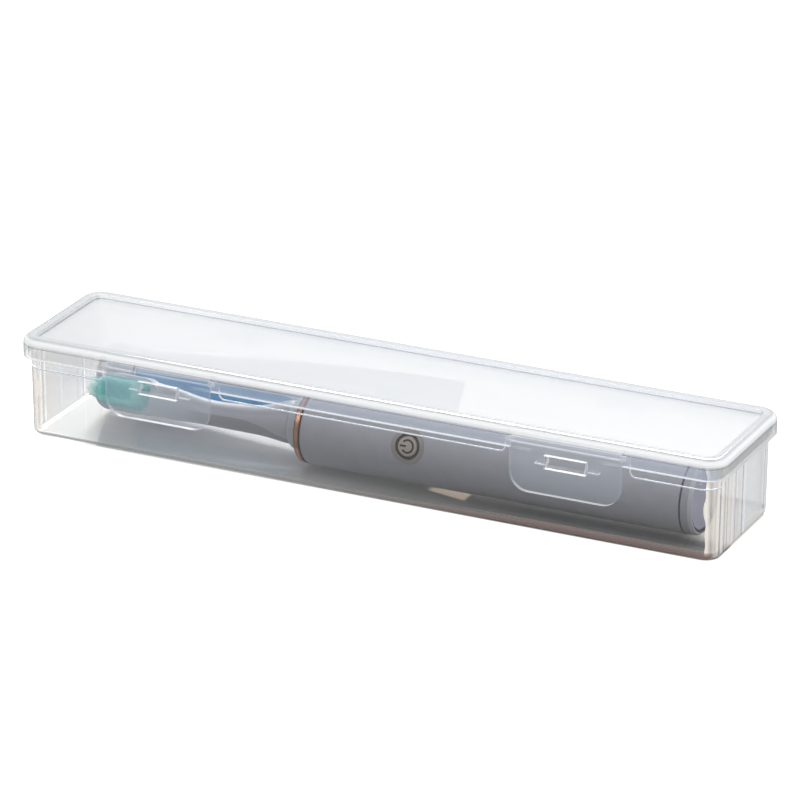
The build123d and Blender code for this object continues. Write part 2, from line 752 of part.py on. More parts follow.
def tube_cap():
    """A screw cap with grip ribs and a hollow for the neck."""
    body = turned([
        (TUBE_CAP_FRONT, 0.0),
        (TUBE_CAP_FRONT, TUBE_CAP_RADIUS - CAP_FRONT_EDGE[0]),
        (TUBE_CAP_FRONT + CAP_FRONT_CURVE, TUBE_CAP_RADIUS - CAP_FRONT_EDGE[1]),
        (TUBE_CAP_BACK, TUBE_CAP_RADIUS - CAP_SKIRT_DROP),
        (TUBE_CAP_BACK, TUBE_NECK_RADIUS + CAP_THREAD_GAP),
        (CAP_ROOF, TUBE_NECK_RADIUS + CAP_THREAD_GAP),
        (CAP_ROOF, 0.0),
    ], TUBE_Y, TUBE_Z)
    for step in range(CAP_RIBS):
        turn = math.radians(step * 360 / CAP_RIBS)
        y = TUBE_Y + (TUBE_CAP_RADIUS - CAP_RIB_SINK) * math.cos(turn)
        z = TUBE_Z + (TUBE_CAP_RADIUS - CAP_RIB_SINK) * math.sin(turn)
        body += rod(TUBE_CAP_FRONT + CAP_RIB_START, TUBE_CAP_BACK, CAP_RIB_RADIUS, y, z)
    return body


def solids(pieces):
    """Separate solids kept together as one sub-part."""
    return Compound(children=[piece.solids()[0] for piece in pieces])


PARTS = {
    "base_tray": base_tray,
    "lid": lid,
    "latch_flap_left": lambda: latch_flap(-1),
    "latch_flap_right": lambda: latch_flap(1),
    "handle_shell": handle_shell,
    "shoulder_cap": shoulder_cap,
    "trim_ring": trim_ring,
    "base_cap": base_cap,
    "base_seal": base_seal,
    "shaft_seal": shaft_seal,
    "motor": motor,
    "drive_shaft": drive_shaft,
    "chassis": chassis,
    "circuit_board": circuit_board,
    "power_switch": power_switch,
    "battery": battery,
    "coil_bobbin": coil_bobbin,
    "charging_coil": charging_coil,
    "button_bezel": button_bezel,
    "button_seal": button_seal,
    "power_button": power_button,
    "brush_head": brush_head,
    "head_insert": head_insert,
    "centre_tufts": lambda: solids(tufts(TUFT_RADIUS, True)),
    "outer_tufts": lambda: solids(tufts(TUFT_RADIUS, False)),
    "tube_body": tube_body,
    "tube_shoulder": tube_shoulder,
    "tube_cap": tube_cap,
}

os.makedirs("parts", exist_ok=True)
for name, make in PARTS.items():
    export_step(make(), f"parts/{name}.step")
    print(name)
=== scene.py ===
import math
import random

import bpy
from mathutils import Matrix, Vector


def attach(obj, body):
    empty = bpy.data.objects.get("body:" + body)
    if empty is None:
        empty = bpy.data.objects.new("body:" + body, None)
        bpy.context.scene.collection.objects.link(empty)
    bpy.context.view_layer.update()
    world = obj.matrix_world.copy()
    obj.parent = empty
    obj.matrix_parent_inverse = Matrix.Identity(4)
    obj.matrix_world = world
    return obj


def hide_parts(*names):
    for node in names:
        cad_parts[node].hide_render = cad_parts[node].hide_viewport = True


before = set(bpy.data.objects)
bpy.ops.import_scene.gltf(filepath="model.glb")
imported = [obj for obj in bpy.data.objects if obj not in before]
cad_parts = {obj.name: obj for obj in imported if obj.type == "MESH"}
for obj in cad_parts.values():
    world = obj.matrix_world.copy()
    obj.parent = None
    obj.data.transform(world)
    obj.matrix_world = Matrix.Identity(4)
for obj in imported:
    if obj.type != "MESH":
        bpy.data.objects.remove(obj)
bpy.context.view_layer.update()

mm = 0.001


# node helpers: a value may be a number, a colour or another node's output, and a new node
# joins the tree of the outputs it reads

def newNode(kind, *values):
    tree = next(value.id_data for value in values if isinstance(value, bpy.types.NodeSocket))
    return tree.nodes.new(kind)


def feed(value, socket):
    if isinstance(value, bpy.types.NodeSocket):
        socket.id_data.links.new(value, socket)
    else:
        socket.default_value = value


def calc(operation, first, second=0.0, clamp=False):
    node = newNode("ShaderNodeMath", first, second)
    node.operation = operation
    node.use_clamp = clamp
    feed(first, node.inputs[0])
    feed(second, node.inputs[1])
    return node.outputs[0]


# goes from lowOut to highOut with soft ends as value goes from low to high
def ramp(value, low, high, lowOut=0.0, highOut=1.0):
    node = newNode("ShaderNodeMapRange", value)
    node.interpolation_type = "SMOOTHSTEP"
    feed(value, node.inputs["Value"])
    for name, number in (("From Min", low), ("From Max", high), ("To Min", lowOut), ("To Max", highOut)):
        feed(number, node.inputs[name])
    return node.outputs["Result"]


# the same between two places given in millimetres
def fade(value, span, lowOut=0.0, highOut=1.0):
    return ramp(value, span[0] * mm, span[1] * mm, lowOut, highOut)


def absolute(value):
    return calc("ABSOLUTE", value)


def above(value, limit):
    return calc("GREATER_THAN", value, limit)


def below(value, limit):
    return calc("LESS_THAN", value, limit)


# 1 where value lies within half of middle
def near(value, middle, half):
    return below(absolute(minus(value, middle)), half)


# 1 on each of several lines, given as middles and half widths in millimetres
def stripes(value, *places):
    return largest(*[near(value, middle * mm, half * mm) for middle, half in places])


def product(*values):
    result = values[0]
    for value in values[1:]:
        result = calc("MULTIPLY", result, value)
    return result


def largest(*values):
    result = values[0]
    for value in values[1:]:
        result = calc("MAXIMUM", result, value)
    return result


def plus(first, second):
    return calc("ADD", first, second)


def minus(first, second):
    return calc("SUBTRACT", first, second)


def inverse(value):
    return minus(1.0, value)


def blendColour(share, first, second):
    node = newNode("ShaderNodeMix", share)
    node.data_type = "RGBA"
    feed(share, node.inputs[0])
    feed(first, node.inputs[6])
    feed(second, node.inputs[7])
    return node.outputs[2]


# the point and normal in the piece's own frame, which don't change as it moves
def restPlace(material):
    nodes = material.node_tree.nodes
    place = nodes.new("ShaderNodeTexCoord")
    point = nodes.new("ShaderNodeSeparateXYZ")
    normal = nodes.new("ShaderNodeSeparateXYZ")
    feed(place.outputs["Object"], point.inputs[0])
    feed(place.outputs["Normal"], normal.inputs[0])
    return place.outputs["Object"], point.outputs, normal.outputs


def noise(place, scale, detail=2.0, stretch=None):
    if stretch:
        mapping = newNode("ShaderNodeMapping", place)
        feed(place, mapping.inputs["Vector"])
        mapping.inputs["Scale"].default_value = stretch
        place = mapping.outputs["Vector"]
    node = newNode("ShaderNodeTexNoise", place)
    feed(place, node.inputs["Vector"])
    node.inputs["Scale"].default_value = scale
    node.inputs["Detail"].default_value = detail
    return node.outputs["Fac"]


def bump(height, depth, strength=1.0):
    node = newNode("ShaderNodeBump", height)
    feed(height, node.inputs["Height"])
    node.inputs["Distance"].default_value = depth
    node.inputs["Strength"].default_value = strength
    return node.outputs["Normal"]


def newMaterial(name):
    material = bpy.data.materials.new(name)
    material.use_nodes = True
    material.node_tree.nodes.clear()
    return material


def finishMaterial(material, shader):
    out = material.node_tree.nodes.new("ShaderNodeOutputMaterial")
    feed(shader.outputs[0], out.inputs["Surface"])
    return material


def solidShader(tree, colour, roughness, **extra):
    shader = tree.nodes.new("ShaderNodeBsdfPrincipled")
    feed(colour, shader.inputs["Base Color"])
    feed(roughness, shader.inputs["Roughness"])
    for name, value in extra.items():
        feed(value, shader.inputs[name.replace("_", " ")])
    return shader


# a material that is one plain shader
def solidMaterial(material, colour, roughness, **extra):
    return finishMaterial(material, solidShader(material.node_tree, colour, roughness, **extra))


def setMaterial(piece, material):
    piece.data.materials.clear()
    piece.data.materials.append(material)


# gives CAD nodes a material through their own slots
def dress(material, *nodes):
    for name in nodes:
        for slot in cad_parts[name].material_slots:
            slot.material = material


def buildMesh(name, points, faces, material, smooth=True):
    mesh = bpy.data.meshes.new(name)
    mesh.from_pydata([tuple(point) for point in points], [], faces)
    mesh.validate()
    if smooth:
        mesh.shade_smooth()
    piece = bpy.data.objects.new(name, mesh)
    bpy.context.scene.collection.objects.link(piece)
    setMaterial(piece, material)
    return piece


# the side faces between rings of points that follow one another
def ringFaces(rings, sides, first=0):
    faces = []
    for index in range(rings - 1):
        for step in range(sides):
            here = first + index * sides + step
            beside = first + index * sides + (step + 1) % sides
            faces.append((here, beside, beside + sides, here + sides))
    return faces


# a round wire through a list of points, closed at both ends
def wire(points, radius, sides=8):
    rings = []
    for index, point in enumerate(points):
        before = points[max(index - 1, 0)]
        after = points[min(index + 1, len(points) - 1)]
        along = (after - before).normalized()
        side = along.cross(Vector((0, 1, 0))).normalized()
        other = along.cross(side)
        for step in range(sides):
            turn = 2 * math.pi * step / sides
            rings.append(point + (side * math.cos(turn) + other * math.sin(turn)) * radius)
    last = (len(points) - 1) * sides
    faces = ringFaces(len(points), sides)
    faces.append(tuple(reversed(range(sides))))
    faces.append(tuple(range(last, last + sides)))
    return rings, faces


def joinShapes(shapes):
    points, faces = [], []
    for shapePoints, shapeFaces in shapes:
        start = len(points)
        points.extend(shapePoints)
        faces.extend(tuple(start + index for index in face) for face in shapeFaces)
    return points, faces


cameraPlace = {
    "azimuth": 25.534, "elevation": 22.601, "distance": 1.7559, "lens": 233.39, "sensor": 36.0,
    "aimRight": 0.0012956, "aimUp": 0.01394, "roll": 0.171, "clip": (0.05, 50.0),
}


def buildCamera():
    at = cameraPlace
    azimuth = math.radians(at["azimuth"])
    elevation = math.radians(at["elevation"])
    flat = math.cos(elevation)
    back = Vector((math.sin(azimuth) * flat, -math.cos(azimuth) * flat, math.sin(elevation)))
    right = Vector((math.cos(azimuth), math.sin(azimuth), 0.0))
    up = back.cross(right)
    aim = -back + right * at["aimRight"] + up * at["aimUp"]
    data = bpy.data.cameras.new("camera")
    data.lens = at["lens"]
    data.sensor_width = at["sensor"]
    data.clip_start, data.clip_end = at["clip"]
    camera = bpy.data.objects.new("camera", data)
    bpy.context.scene.collection.objects.link(camera)
    camera.location = back * at["distance"]
    turn = aim.to_track_quat("-Z", "Y")
    roll = Matrix.Rotation(math.radians(at["roll"]), 3, "Z").to_quaternion()
    camera.rotation_mode = "QUATERNION"
    camera.rotation_quaternion = turn @ roll
    bpy.context.scene.camera = camera


# painted shadow: the floor under the case darkens from the head towards the handle, darkest at the contact
# line
floorLook = {
    "size": 8.0, "drop": 0.1, "roughness": 0.9, "white": (1, 1, 1, 1), "around": (0.20, 0.20, 0.20, 1),
    "spanX": (-129.0, 126.6), "spanY": (-23.1, 24.3), "corner": 5.0, "edgeSoft": 0.6,
    "underHead": (0.86, 0.86, 0.84, 1), "underHandle": (0.27, 0.245, 0.215, 1), "shadeX": (-60.0, 70.0),
    "contactShadowColour": (0.02, 0.02, 0.02, 1), "contactY": -11.0, "contactReach": (4.0, 1.0),
    "contactX": (20.0, 70.0), "contactDepth": 0.9,
}

# painted light: where the glowing patches and the warm streak lie on the floor inside the case, in
# millimetres
floorLight = {
    "colour": (0.79, 0.755, 0.715, 1), "glow": 0.22, "leftX": (-110.3, -111.5), "leftLean": 0.4,
    "rightX": (108.0, 116.0), "rightY": (-12.0, -4.0), "rightGlow": 2.1,
    "neckX": (-74.0, -82.0), "neckY": (3.2, 4.0), "neckBackY": (14.0, 10.0),
    "streakFrom": (16.0, 18.5), "streakTo": (32.5, 31.0), "streakLean": 0.20, "streakEdge": (-6.0, -4.4),
    "streakBack": (-4.5, -6.5), "streakGlow": 1.9, "streakColour": (1.0, 0.80, 0.60, 1), "warmUpTo": 0.5,
}


# 1 outside the rounded footprint of the case
def outsideFoot(point):
    corner, soft = floorLook["corner"] * mm, floorLook["edgeSoft"] * mm
    squares = []
    for value, (low, high) in ((point[0], floorLook["spanX"]), (point[1], floorLook["spanY"])):
        off = absolute(minus(value, (low + high) / 2 * mm))
        over = largest(minus(off, (high - low) / 2 * mm - corner), 0.0)
        squares.append(product(over, over))
    distance = calc("SQRT", plus(*squares))
    return ramp(distance, corner - soft, corner + soft)


# painted light: glowing patches at both ends and behind the neck, and a warm glowing streak beside the
# handle
def paintedLightPatches(point):
    light = floorLight
    leftEnd = fade(plus(point[0], product(point[1], light["leftLean"])), light["leftX"])
    rightEnd = product(fade(point[0], light["rightX"]), fade(point[1], light["rightY"]), light["rightGlow"])
    behindNeck = product(fade(point[0], light["neckX"]), fade(point[1], light["neckY"]),
                         fade(point[1], light["neckBackY"]))
    edge = plus(point[1], product(point[0], light["streakLean"]))
    streak = product(fade(edge, light["streakEdge"]), fade(point[0], light["streakFrom"]),
                     fade(point[0], light["streakTo"]), fade(point[1], light["streakBack"]),
                     light["streakGlow"])
    warm = blendColour(ramp(streak, 0.0, light["warmUpTo"]), light["colour"], light["streakColour"])
    lit = largest(leftEnd, rightEnd, behindNeck, streak)
    return product(lit, light["glow"]), warm


# painted shadow: the floor under the case, darker under the handle and darkest where they nearly touch
def floorShade(point):
    shade = fade(point[0], floorLook["shadeX"])
    under = blendColour(shade, floorLook["underHead"], floorLook["underHandle"])
    away = absolute(minus(point[1], floorLook["contactY"] * mm))
    contactShadow = product(fade(away, floorLook["contactReach"]), fade(point[0], floorLook["contactX"]),
                    floorLook["contactDepth"])
    return blendColour(contactShadow, under, floorLook["contactShadowColour"])


# a white floor to the eye, and a grey one to light, so the case isn't lit from below; under the case the
# eye sees painted shadow and painted light
def buildFloor():
    bpy.ops.mesh.primitive_plane_add(size=floorLook["size"], location=(0, 0, -floorLook["drop"] * mm))
    floor = bpy.context.object
    floor.name = "floor"
    material = newMaterial("paleFloor")
    tree = material.node_tree
    _, point, _ = restPlace(material)
    outside = outsideFoot(point)
    # painted light on the floor under the case, as glow that only the camera sees
    lit, warm = paintedLightPatches(point)
    seen = tree.nodes.new("ShaderNodeLightPath").outputs["Is Camera Ray"]
    glow = tree.nodes.new("ShaderNodeEmission")
    feed(blendColour(outside, warm, floorLook["white"]), glow.inputs["Color"])
    feed(product(largest(outside, lit), seen), glow.inputs["Strength"])
    matt = solidShader(tree, blendColour(outside, floorShade(point), floorLook["around"]),
                       floorLook["roughness"])
    both = tree.nodes.new("ShaderNodeAddShader")
    feed(matt.outputs[0], both.inputs[0])
    feed(glow.outputs[0], both.inputs[1])
    setMaterial(floor, finishMaterial(material, both))


worldLight = {
    "frontLow": 0.12, "frontHigh": 0.62, "back": 0.74, "seen": 1.0,
    "behindSpan": (-0.5, 0.6), "frontSpan": (0.05, 0.75), "tintSpan": (0.0, 0.5),
    "lowTint": (1.0, 0.97, 0.95, 1), "highTint": (0.95, 0.98, 1.0, 1), "white": (1, 1, 1, 1),
}


def buildWorld():
    light = worldLight
    world = bpy.data.worlds.new("studio")
    bpy.context.scene.world = world
    world.use_nodes = True
    tree = world.node_tree
    tree.nodes.clear()
    direction = tree.nodes.new("ShaderNodeTexCoord").outputs["Generated"]
    parts = tree.nodes.new("ShaderNodeSeparateXYZ")
    feed(direction, parts.inputs[0])
    behind = ramp(parts.outputs[1], *light["behindSpan"])
    front = ramp(parts.outputs[2], *light["frontSpan"], light["frontLow"], light["frontHigh"])
    level = tree.nodes.new("ShaderNodeMix")
    feed(behind, level.inputs[0])
    feed(front, level.inputs[2])
    level.inputs[3].default_value = light["back"]
    seen = tree.nodes.new("ShaderNodeLightPath").outputs["Is Camera Ray"]
    strength = largest(level.outputs[0], product(seen, light["seen"]))
    height = ramp(parts.outputs[2], *light["tintSpan"])
    tint = blendColour(height, light["lowTint"], light["highTint"])
    sky = tree.nodes.new("ShaderNodeBackground")
    feed(blendColour(seen, tint, light["white"]), sky.inputs["Color"])
    feed(strength, sky.inputs["Strength"])
    out = tree.nodes.new("ShaderNodeOutputWorld")
    feed(sky.outputs[0], out.inputs["Surface"])


lamps = {
    "backWindow": {"place": (-0.5, 1.2, 0.95), "target": (0, 0, 0), "size": (0.55, 0.35), "power": 21.0},
}


def buildLamps():
    for name, lamp in lamps.items():
        data = bpy.data.lights.new(name, "AREA")
        data.shape = "RECTANGLE"
        data.size, data.size_y = lamp["size"]
        data.energy = lamp["power"]
        piece = bpy.data.objects.new(name, data)
        bpy.context.scene.collection.objects.link(piece)
        piece.location = lamp["place"]
        away = Vector(lamp["place"]) - Vector(lamp["target"])
        piece.rotation_euler = (-away).to_track_quat("-Z", "Y").to_euler()


# shared by every clear piece
clearShape = {
    "rippleScale": 60.0, "rippleDepth": 0.1, "rippleStrength": 0.2, "greyPower": 2.0,
    "mirrorPower": 5.0, "mirrorSlant": 0.9, "mirrorHeadOn": 0.04, "layerBlend": 0.5,
    "edgeOn": (0.80, 1.0), "edgeOnGrey": 0.9, "slantPower": 3.0, "glowColour": (0.94, 0.97, 1.0, 1),
}


# 0 seen head on, 1 seen edge on
def facingShare(material):
    slant = material.node_tree.nodes.new("ShaderNodeLayerWeight")
    slant.inputs["Blend"].default_value = clearShape["layerBlend"]
    return slant.outputs["Facing"]


# the veil: the plastic's own faint body; painted light as glow on its edges and milky places, and painted
# shade where it turns greyer seen slant or edge on
def veilShader(tree, look, facing, ripple, veil):
    haze, edge, tint, paintedGlow = veil
    slantBody = product(calc("POWER", facing, clearShape["slantPower"]), look["slantHaze"])
    body = plus(haze, slantBody)
    opacity = calc("MAXIMUM", body, edge, clamp=True)
    # painted shade: the veil turns greyer where it is seen slant or edge on
    slanted = product(calc("POWER", facing, clearShape["greyPower"]), look["slantGrey"])
    edgeOn = ramp(facing, *clearShape["edgeOn"], 0.0, clearShape["edgeOnGrey"])
    greyer = largest(slanted, edgeOn)
    tint = blendColour(product(greyer, inverse(edge)), tint, look["greyTint"])
    # painted light: the veil, its edges and its milky places glow, though they are no lamp
    glow = look["veilGlow"]
    if paintedGlow is not None:
        glow = largest(glow, product(paintedGlow, look["paintedGlowLevel"]))
    shine = largest(product(edge, look["edgeGlow"]), glow)
    glowing = blendColour(edge, tint, clearShape["glowColour"])
    return solidShader(tree, tint, look["roughness"], Alpha=opacity, Normal=ripple,
                       Emission_Color=glowing, Emission_Strength=shine)


# clear moulded plastic: a veil over what lies behind, thicker where the map says, and a gloss
# that grows towards grazing; light for the things inside goes straight through it
def clearPlastic(name, look, veilMap):
    material = newMaterial(name)
    tree = material.node_tree
    place, point, normal = restPlace(material)
    facing = facingShare(material)
    waves = noise(place, clearShape["rippleScale"])
    ripple = bump(waves, clearShape["rippleDepth"] * mm, clearShape["rippleStrength"])
    veil = veilShader(tree, look, facing, ripple, veilMap(place, point, normal, facing, look))
    gloss = tree.nodes.new("ShaderNodeBsdfGlossy")
    gloss.inputs["Roughness"].default_value = look["roughness"]
    feed(ripple, gloss.inputs["Normal"])
    grazing = calc("POWER", facing, clearShape["mirrorPower"])
    mirror = plus(product(grazing, clearShape["mirrorSlant"] * look["shine"]),
                  clearShape["mirrorHeadOn"] * look["shine"])
    mixed = tree.nodes.new("ShaderNodeMixShader")
    feed(mirror, mixed.inputs[0])
    feed(veil.outputs[0], mixed.inputs[1])
    feed(gloss.outputs[0], mixed.inputs[2])
    path = tree.nodes.new("ShaderNodeLightPath").outputs
    passing = tree.nodes.new("ShaderNodeMixShader")
    feed(largest(path["Is Shadow Ray"], path["Is Diffuse Ray"]), passing.inputs[0])
    feed(mixed.outputs[0], passing.inputs[1])
    feed(tree.nodes.new("ShaderNodeBsdfTransparent").outputs[0], passing.inputs[2])
    return finishMaterial(material, passing)


faceSpans = ((0.25, 0.9), (0.35, 0.95), (0.35, 0.85))


# how far a face looks along the case, across it, and up or down
def faceShares(normal):
    return [ramp(absolute(part), *span) for part, span in zip(normal, faceSpans)]


lidLook = {
    "panelHaze": 0.54, "rimHaze": 0.42, "frontHaze": 0.24, "endHaze": 0.5, "cornerHaze": 0.5,
    "shoulderHaze": 0.8, "wallHaze": 0.55, "stepHaze": 0.5,
    "paintedGlowLevel": 0.9, "lipGlow": 0.7, "endGlow": 0.15, "frontGlow": 0.4, "edgeShare": 0.8, "wallFront": 0.45,
    "slantSpan": (0.1, 0.55), "headOnShare": 0.35, "levelSpan": (0.6, 1.0), "lipSpan": (0.75, 1.0),
    "colour": (0.895, 0.90, 0.90, 1), "rimColour": (0.69, 0.70, 0.71, 1),
    "skirtColour": (0.68, 0.76, 0.92, 1), "wallColour": (0.40, 0.43, 0.46, 1),
    "greyTint": (0.45, 0.48, 0.50, 1), "slantGrey": 0.5,
    "roughness": 0.12, "slantHaze": 0.25, "edgeGlow": 0.38, "veilGlow": 0.04, "shine": 1.0,
}

# heights, half sizes and lines on the lid, in millimetres
lidPlaces = {
    "panelHalfX": 125.9, "panelHalfY": 23.2, "panelZ": 33.0, "rimZ": 35.0, "wallLine": (34.8, 0.25),
    "stepLine": (33.55, 0.16), "shoulderZ": (33.6, 34.4), "skirtLine": (29.2, 0.25),
    "coolX": (-100.0, -40.0), "wallY": (-20.0, 10.0),
}


# milky top, clearer sides and a greyer rim top; painted shade: thin grey lines inside and under the rim;
# painted light: a glowing cut edge at the skirt's foot, and glow on the rounded shoulder, the ends and the
# front
def lidVeil(_, point, normal, facing, look):
    at = lidPlaces
    endOn, frontOn, up = faceShares(normal)
    sideways = inverse(up)
    inside = product(below(absolute(point[0]), at["panelHalfX"] * mm),
                     below(absolute(point[1]), at["panelHalfY"] * mm))
    outer = inverse(inside)
    slant = ramp(facing, *look["slantSpan"], look["headOnShare"], 1.0)
    panel = product(up, inside, above(point[2], at["panelZ"] * mm), slant, look["panelHaze"])
    rimTop = product(up, above(point[2], at["rimZ"] * mm), look["rimHaze"])
    rimWall = product(sideways, inside, stripes(point[2], at["wallLine"]),
                      fade(point[1], at["wallY"], look["wallFront"], 1.0))
    step = product(sideways, outer, stripes(point[2], at["stepLine"]))
    shoulder = product(fade(point[2], at["shoulderZ"]), outer)
    side = plus(product(endOn, look["endHaze"]), product(frontOn, look["frontHaze"]))
    turned = product(sideways, inverse(endOn), inverse(frontOn), look["cornerHaze"])
    haze = largest(panel, rimTop, side, turned, product(rimWall, look["wallHaze"]),
                   product(step, look["stepHaze"]), product(shoulder, look["shoulderHaze"]))
    # painted highlight: the cut edge at the skirt's foot glows
    skirtEdge = product(stripes(point[2], at["skirtLine"]), look["edgeShare"])
    cool = product(frontOn, inverse(shoulder), fade(point[0], at["coolX"]))
    level = ramp(absolute(normal[2]), *look["levelSpan"])
    tint = blendColour(cool, look["colour"], look["skirtColour"])
    tint = blendColour(product(level, above(point[2], at["rimZ"] * mm)), tint, look["rimColour"])
    # painted shade: the thin lines inside and under the rim are grey
    tint = blendColour(largest(rimWall, step), tint, look["wallColour"])
    # painted light: glow on the rounded shoulder, the ends and the front
    lip = ramp(absolute(normal[2]), *look["lipSpan"], look["lipGlow"], 0.0)
    paintedGlow = largest(product(shoulder, lip), product(endOn, look["endGlow"]),
                   product(frontOn, look["frontGlow"]))
    return haze, skirtEdge, tint, product(paintedGlow, inverse(step))


trayLook = {
    "frontHaze": 0.05, "endHaze": 0.56, "cornerHaze": 0.48, "gleamHaze": 0.8, "floorHaze": 0.04,
    "paleHaze": 0.75, "footHaze": 0.9, "rimShare": 0.25, "rightDepth": 0.5, "leftDepth": 0.3,
    "paintedGlowLevel": 0.62, "gleamGlow": 1.2, "leftGlow": 0.6, "slantGrey": 0.4, "roughness": 0.10,
    "slantHaze": 0.10, "edgeGlow": 0.4, "veilGlow": 0.26, "shine": 1.0, "colour": (0.80, 0.81, 0.82, 1),
    "warm": (0.90, 0.84, 0.77, 1), "streakColour": (0.34, 0.28, 0.25, 1), "greyTint": (0.45, 0.47, 0.50, 1),
    "footPale": (0.70, 0.67, 0.64, 1), "footBrown": (0.42, 0.27, 0.24, 1),
}

# lines as middles and half widths, and the rest as spans, all in millimetres
trayPlaces = {
    "endX": 122.5, "frontY": 22.6, "stripeZ": 1.5, "rimLine": (32.9, 0.3), "rimFacing": 0.5,
    "footZ": (1.5, 2.3), "footRise": 0.9, "riseX": (-20.0, 80.0), "brownX": (-60.0, 75.0),
    "endGlowX": (-60.0, 60.0), "warmY": (-1.0, -14.0),
    "rightDark": ((-20.5, 0.35), (-17.0, 0.45), (-14.7, 0.3), (-7.8, 0.35), (-1.6, 0.5), (17.8, 0.4)),
    "rightPale": ((-18.8, 0.8), (-10.0, 0.7), (0.2, 1.0)),
    "leftDark": ((-16.0, 0.4), (8.2, 0.3), (12.2, 0.5)), "leftPale": ((-14.6, 0.6), (13.4, 0.5)),
}

# painted highlight: the wavy bright band that follows each rounded corner
gleamShape = {
    "uprightSpan": (0.1, 0.4), "scale": 80.0, "detail": 1.0, "stretch": (0.01, 0.01, 1.0),
    "noiseSpan": (0.35, 0.65), "facing": (0.32, 0.58), "half": 0.2,
}


# painted shade and painted highlight: dark and pale upright lines on the two end walls
def endLines(point, up, look):
    at = trayPlaces
    right = above(point[0], 0.0)
    left = inverse(right)
    wall = product(above(absolute(point[0]), at["endX"] * mm), inverse(up),
                   above(point[2], at["stripeZ"] * mm))
    lines = []
    for shade, depths in (("Dark", (look["rightDepth"], look["leftDepth"])), ("Pale", (1.0, 1.0))):
        onRight = product(stripes(point[1], *at["right" + shade]), right, depths[0])
        onLeft = product(stripes(point[1], *at["left" + shade]), left, depths[1])
        lines.append(product(largest(onRight, onLeft), wall))
    return lines


# clear long walls, milky ribbed ends and corners, and a tinted foot where the floor is seen edge on; the
# foot's tint, the cream, the glow, the rim line and the end lines are painted light and shade
def trayVeil(place, point, normal, _, look):
    at = trayPlaces
    endOn, frontOn, up = faceShares(normal)
    upright = inverse(ramp(absolute(normal[2]), *gleamShape["uprightSpan"]))
    between = product(upright, inverse(endOn))
    waves = noise(place, gleamShape["scale"], gleamShape["detail"], gleamShape["stretch"])
    wave = ramp(waves, *gleamShape["noiseSpan"], *gleamShape["facing"])
    gleam = product(between, near(absolute(normal[0]), wave, gleamShape["half"]))
    corner = largest(product(between, inverse(frontOn), look["cornerHaze"]),
                     product(gleam, look["gleamHaze"]))
    walls = plus(product(endOn, look["endHaze"]), product(frontOn, look["frontHaze"]))
    rise = fade(point[0], at["riseX"], 0.0, at["footRise"] * mm)
    low = inverse(fade(minus(point[2], rise), at["footZ"]))
    foot = product(low, above(absolute(point[1]), at["frontY"] * mm), look["footHaze"])
    # painted highlight: a glowing line along the top rim
    rim = product(above(normal[2], at["rimFacing"]), stripes(point[2], at["rimLine"]), look["rimShare"])
    dark, pale = endLines(point, up, look)
    haze = largest(walls, corner, product(up, look["floorHaze"]), foot, dark,
                   product(pale, look["paleHaze"]))
    # painted light: warm cream on the front half of each end wall and on the corners
    atEnd = above(absolute(point[0]), at["endX"] * mm)
    warmLight = largest(product(atEnd, fade(point[1], at["warmY"])), corner)
    tint = blendColour(warmLight, look["colour"], look["warm"])
    tint = blendColour(pale, tint, clearShape["glowColour"])
    tint = blendColour(dark, tint, look["streakColour"])
    # painted shade: the foot turns browner towards the right, where the floor under the handle is in shadow
    brown = fade(point[0], at["brownX"])
    tint = blendColour(foot, tint, blendColour(brown, look["footPale"], look["footBrown"]))
    # painted light: glow on the ends, the pale lines and the corner bands
    endGlow = product(endOn, fade(point[0], at["endGlowX"], look["leftGlow"], 1.0))
    paintedGlow = product(largest(endGlow, pale, product(gleam, look["gleamGlow"])), inverse(dark))
    return haze, rim, tint, paintedGlow


flapLook = {
    "haze": (0.11, 0.14), "hazeZ": (18.0, 31.0), "cloudScale": 700.0, "cloudDetail": 3.0,
    "cloudSpan": (0.3, 0.7), "cloud": (0.9, 1.1), "rimHaze": 0.80, "cutFacing": 0.6, "cutZ": 28.8,
    "levelSpan": (0.2, 0.8), "level": (0.55, 1.0),
    "colour": (0.76, 0.85, 0.97, 1), "cutColour": (0.14, 0.15, 0.165, 1),
    "greyTint": (0.6, 0.63, 0.66, 1), "slantGrey": 0.3, "roughness": 0.35, "slantHaze": 0.1,
    "edgeGlow": 0.66, "veilGlow": 0.28, "shine": 0.15,
}


# frosted faces; painted highlight and shade: the cut edges around the outline and the window are dark in
# colour and glow
def flapVeil(place, point, normal, _, look):
    level = ramp(absolute(normal[2]), *look["levelSpan"], *look["level"])
    cut = product(below(absolute(normal[1]), look["cutFacing"]), level, below(point[2], look["cutZ"] * mm))
    cloud = ramp(noise(place, look["cloudScale"], look["cloudDetail"]), *look["cloudSpan"], *look["cloud"])
    haze = product(cloud, fade(point[2], look["hazeZ"], *look["haze"]))
    tint = blendColour(cut, look["colour"], look["cutColour"])
    return haze, product(cut, look["rimHaze"]), tint, None


highlightWireLook = {
    "colour": (0.84, 0.90, 0.98, 1), "roughness": 0.2, "radius": 0.27,
    "cloudScale": 120.0, "cloudSpan": (0.3, 0.7), "glow": (0.272, 0.374),
}


# painted highlight: a pale glowing finish for the wires along the band edges and ledges
def highlightWireMaterial():
    material = newMaterial("paintedEdgeHighlight")
    place, _, _ = restPlace(material)
    level = ramp(noise(place, highlightWireLook["cloudScale"]), *highlightWireLook["cloudSpan"], *highlightWireLook["glow"])
    return solidMaterial(material, highlightWireLook["colour"], highlightWireLook["roughness"],
                         Emission_Color=highlightWireLook["colour"], Emission_Strength=level)


latchX = 75.3  # the middle of each latch, left and right

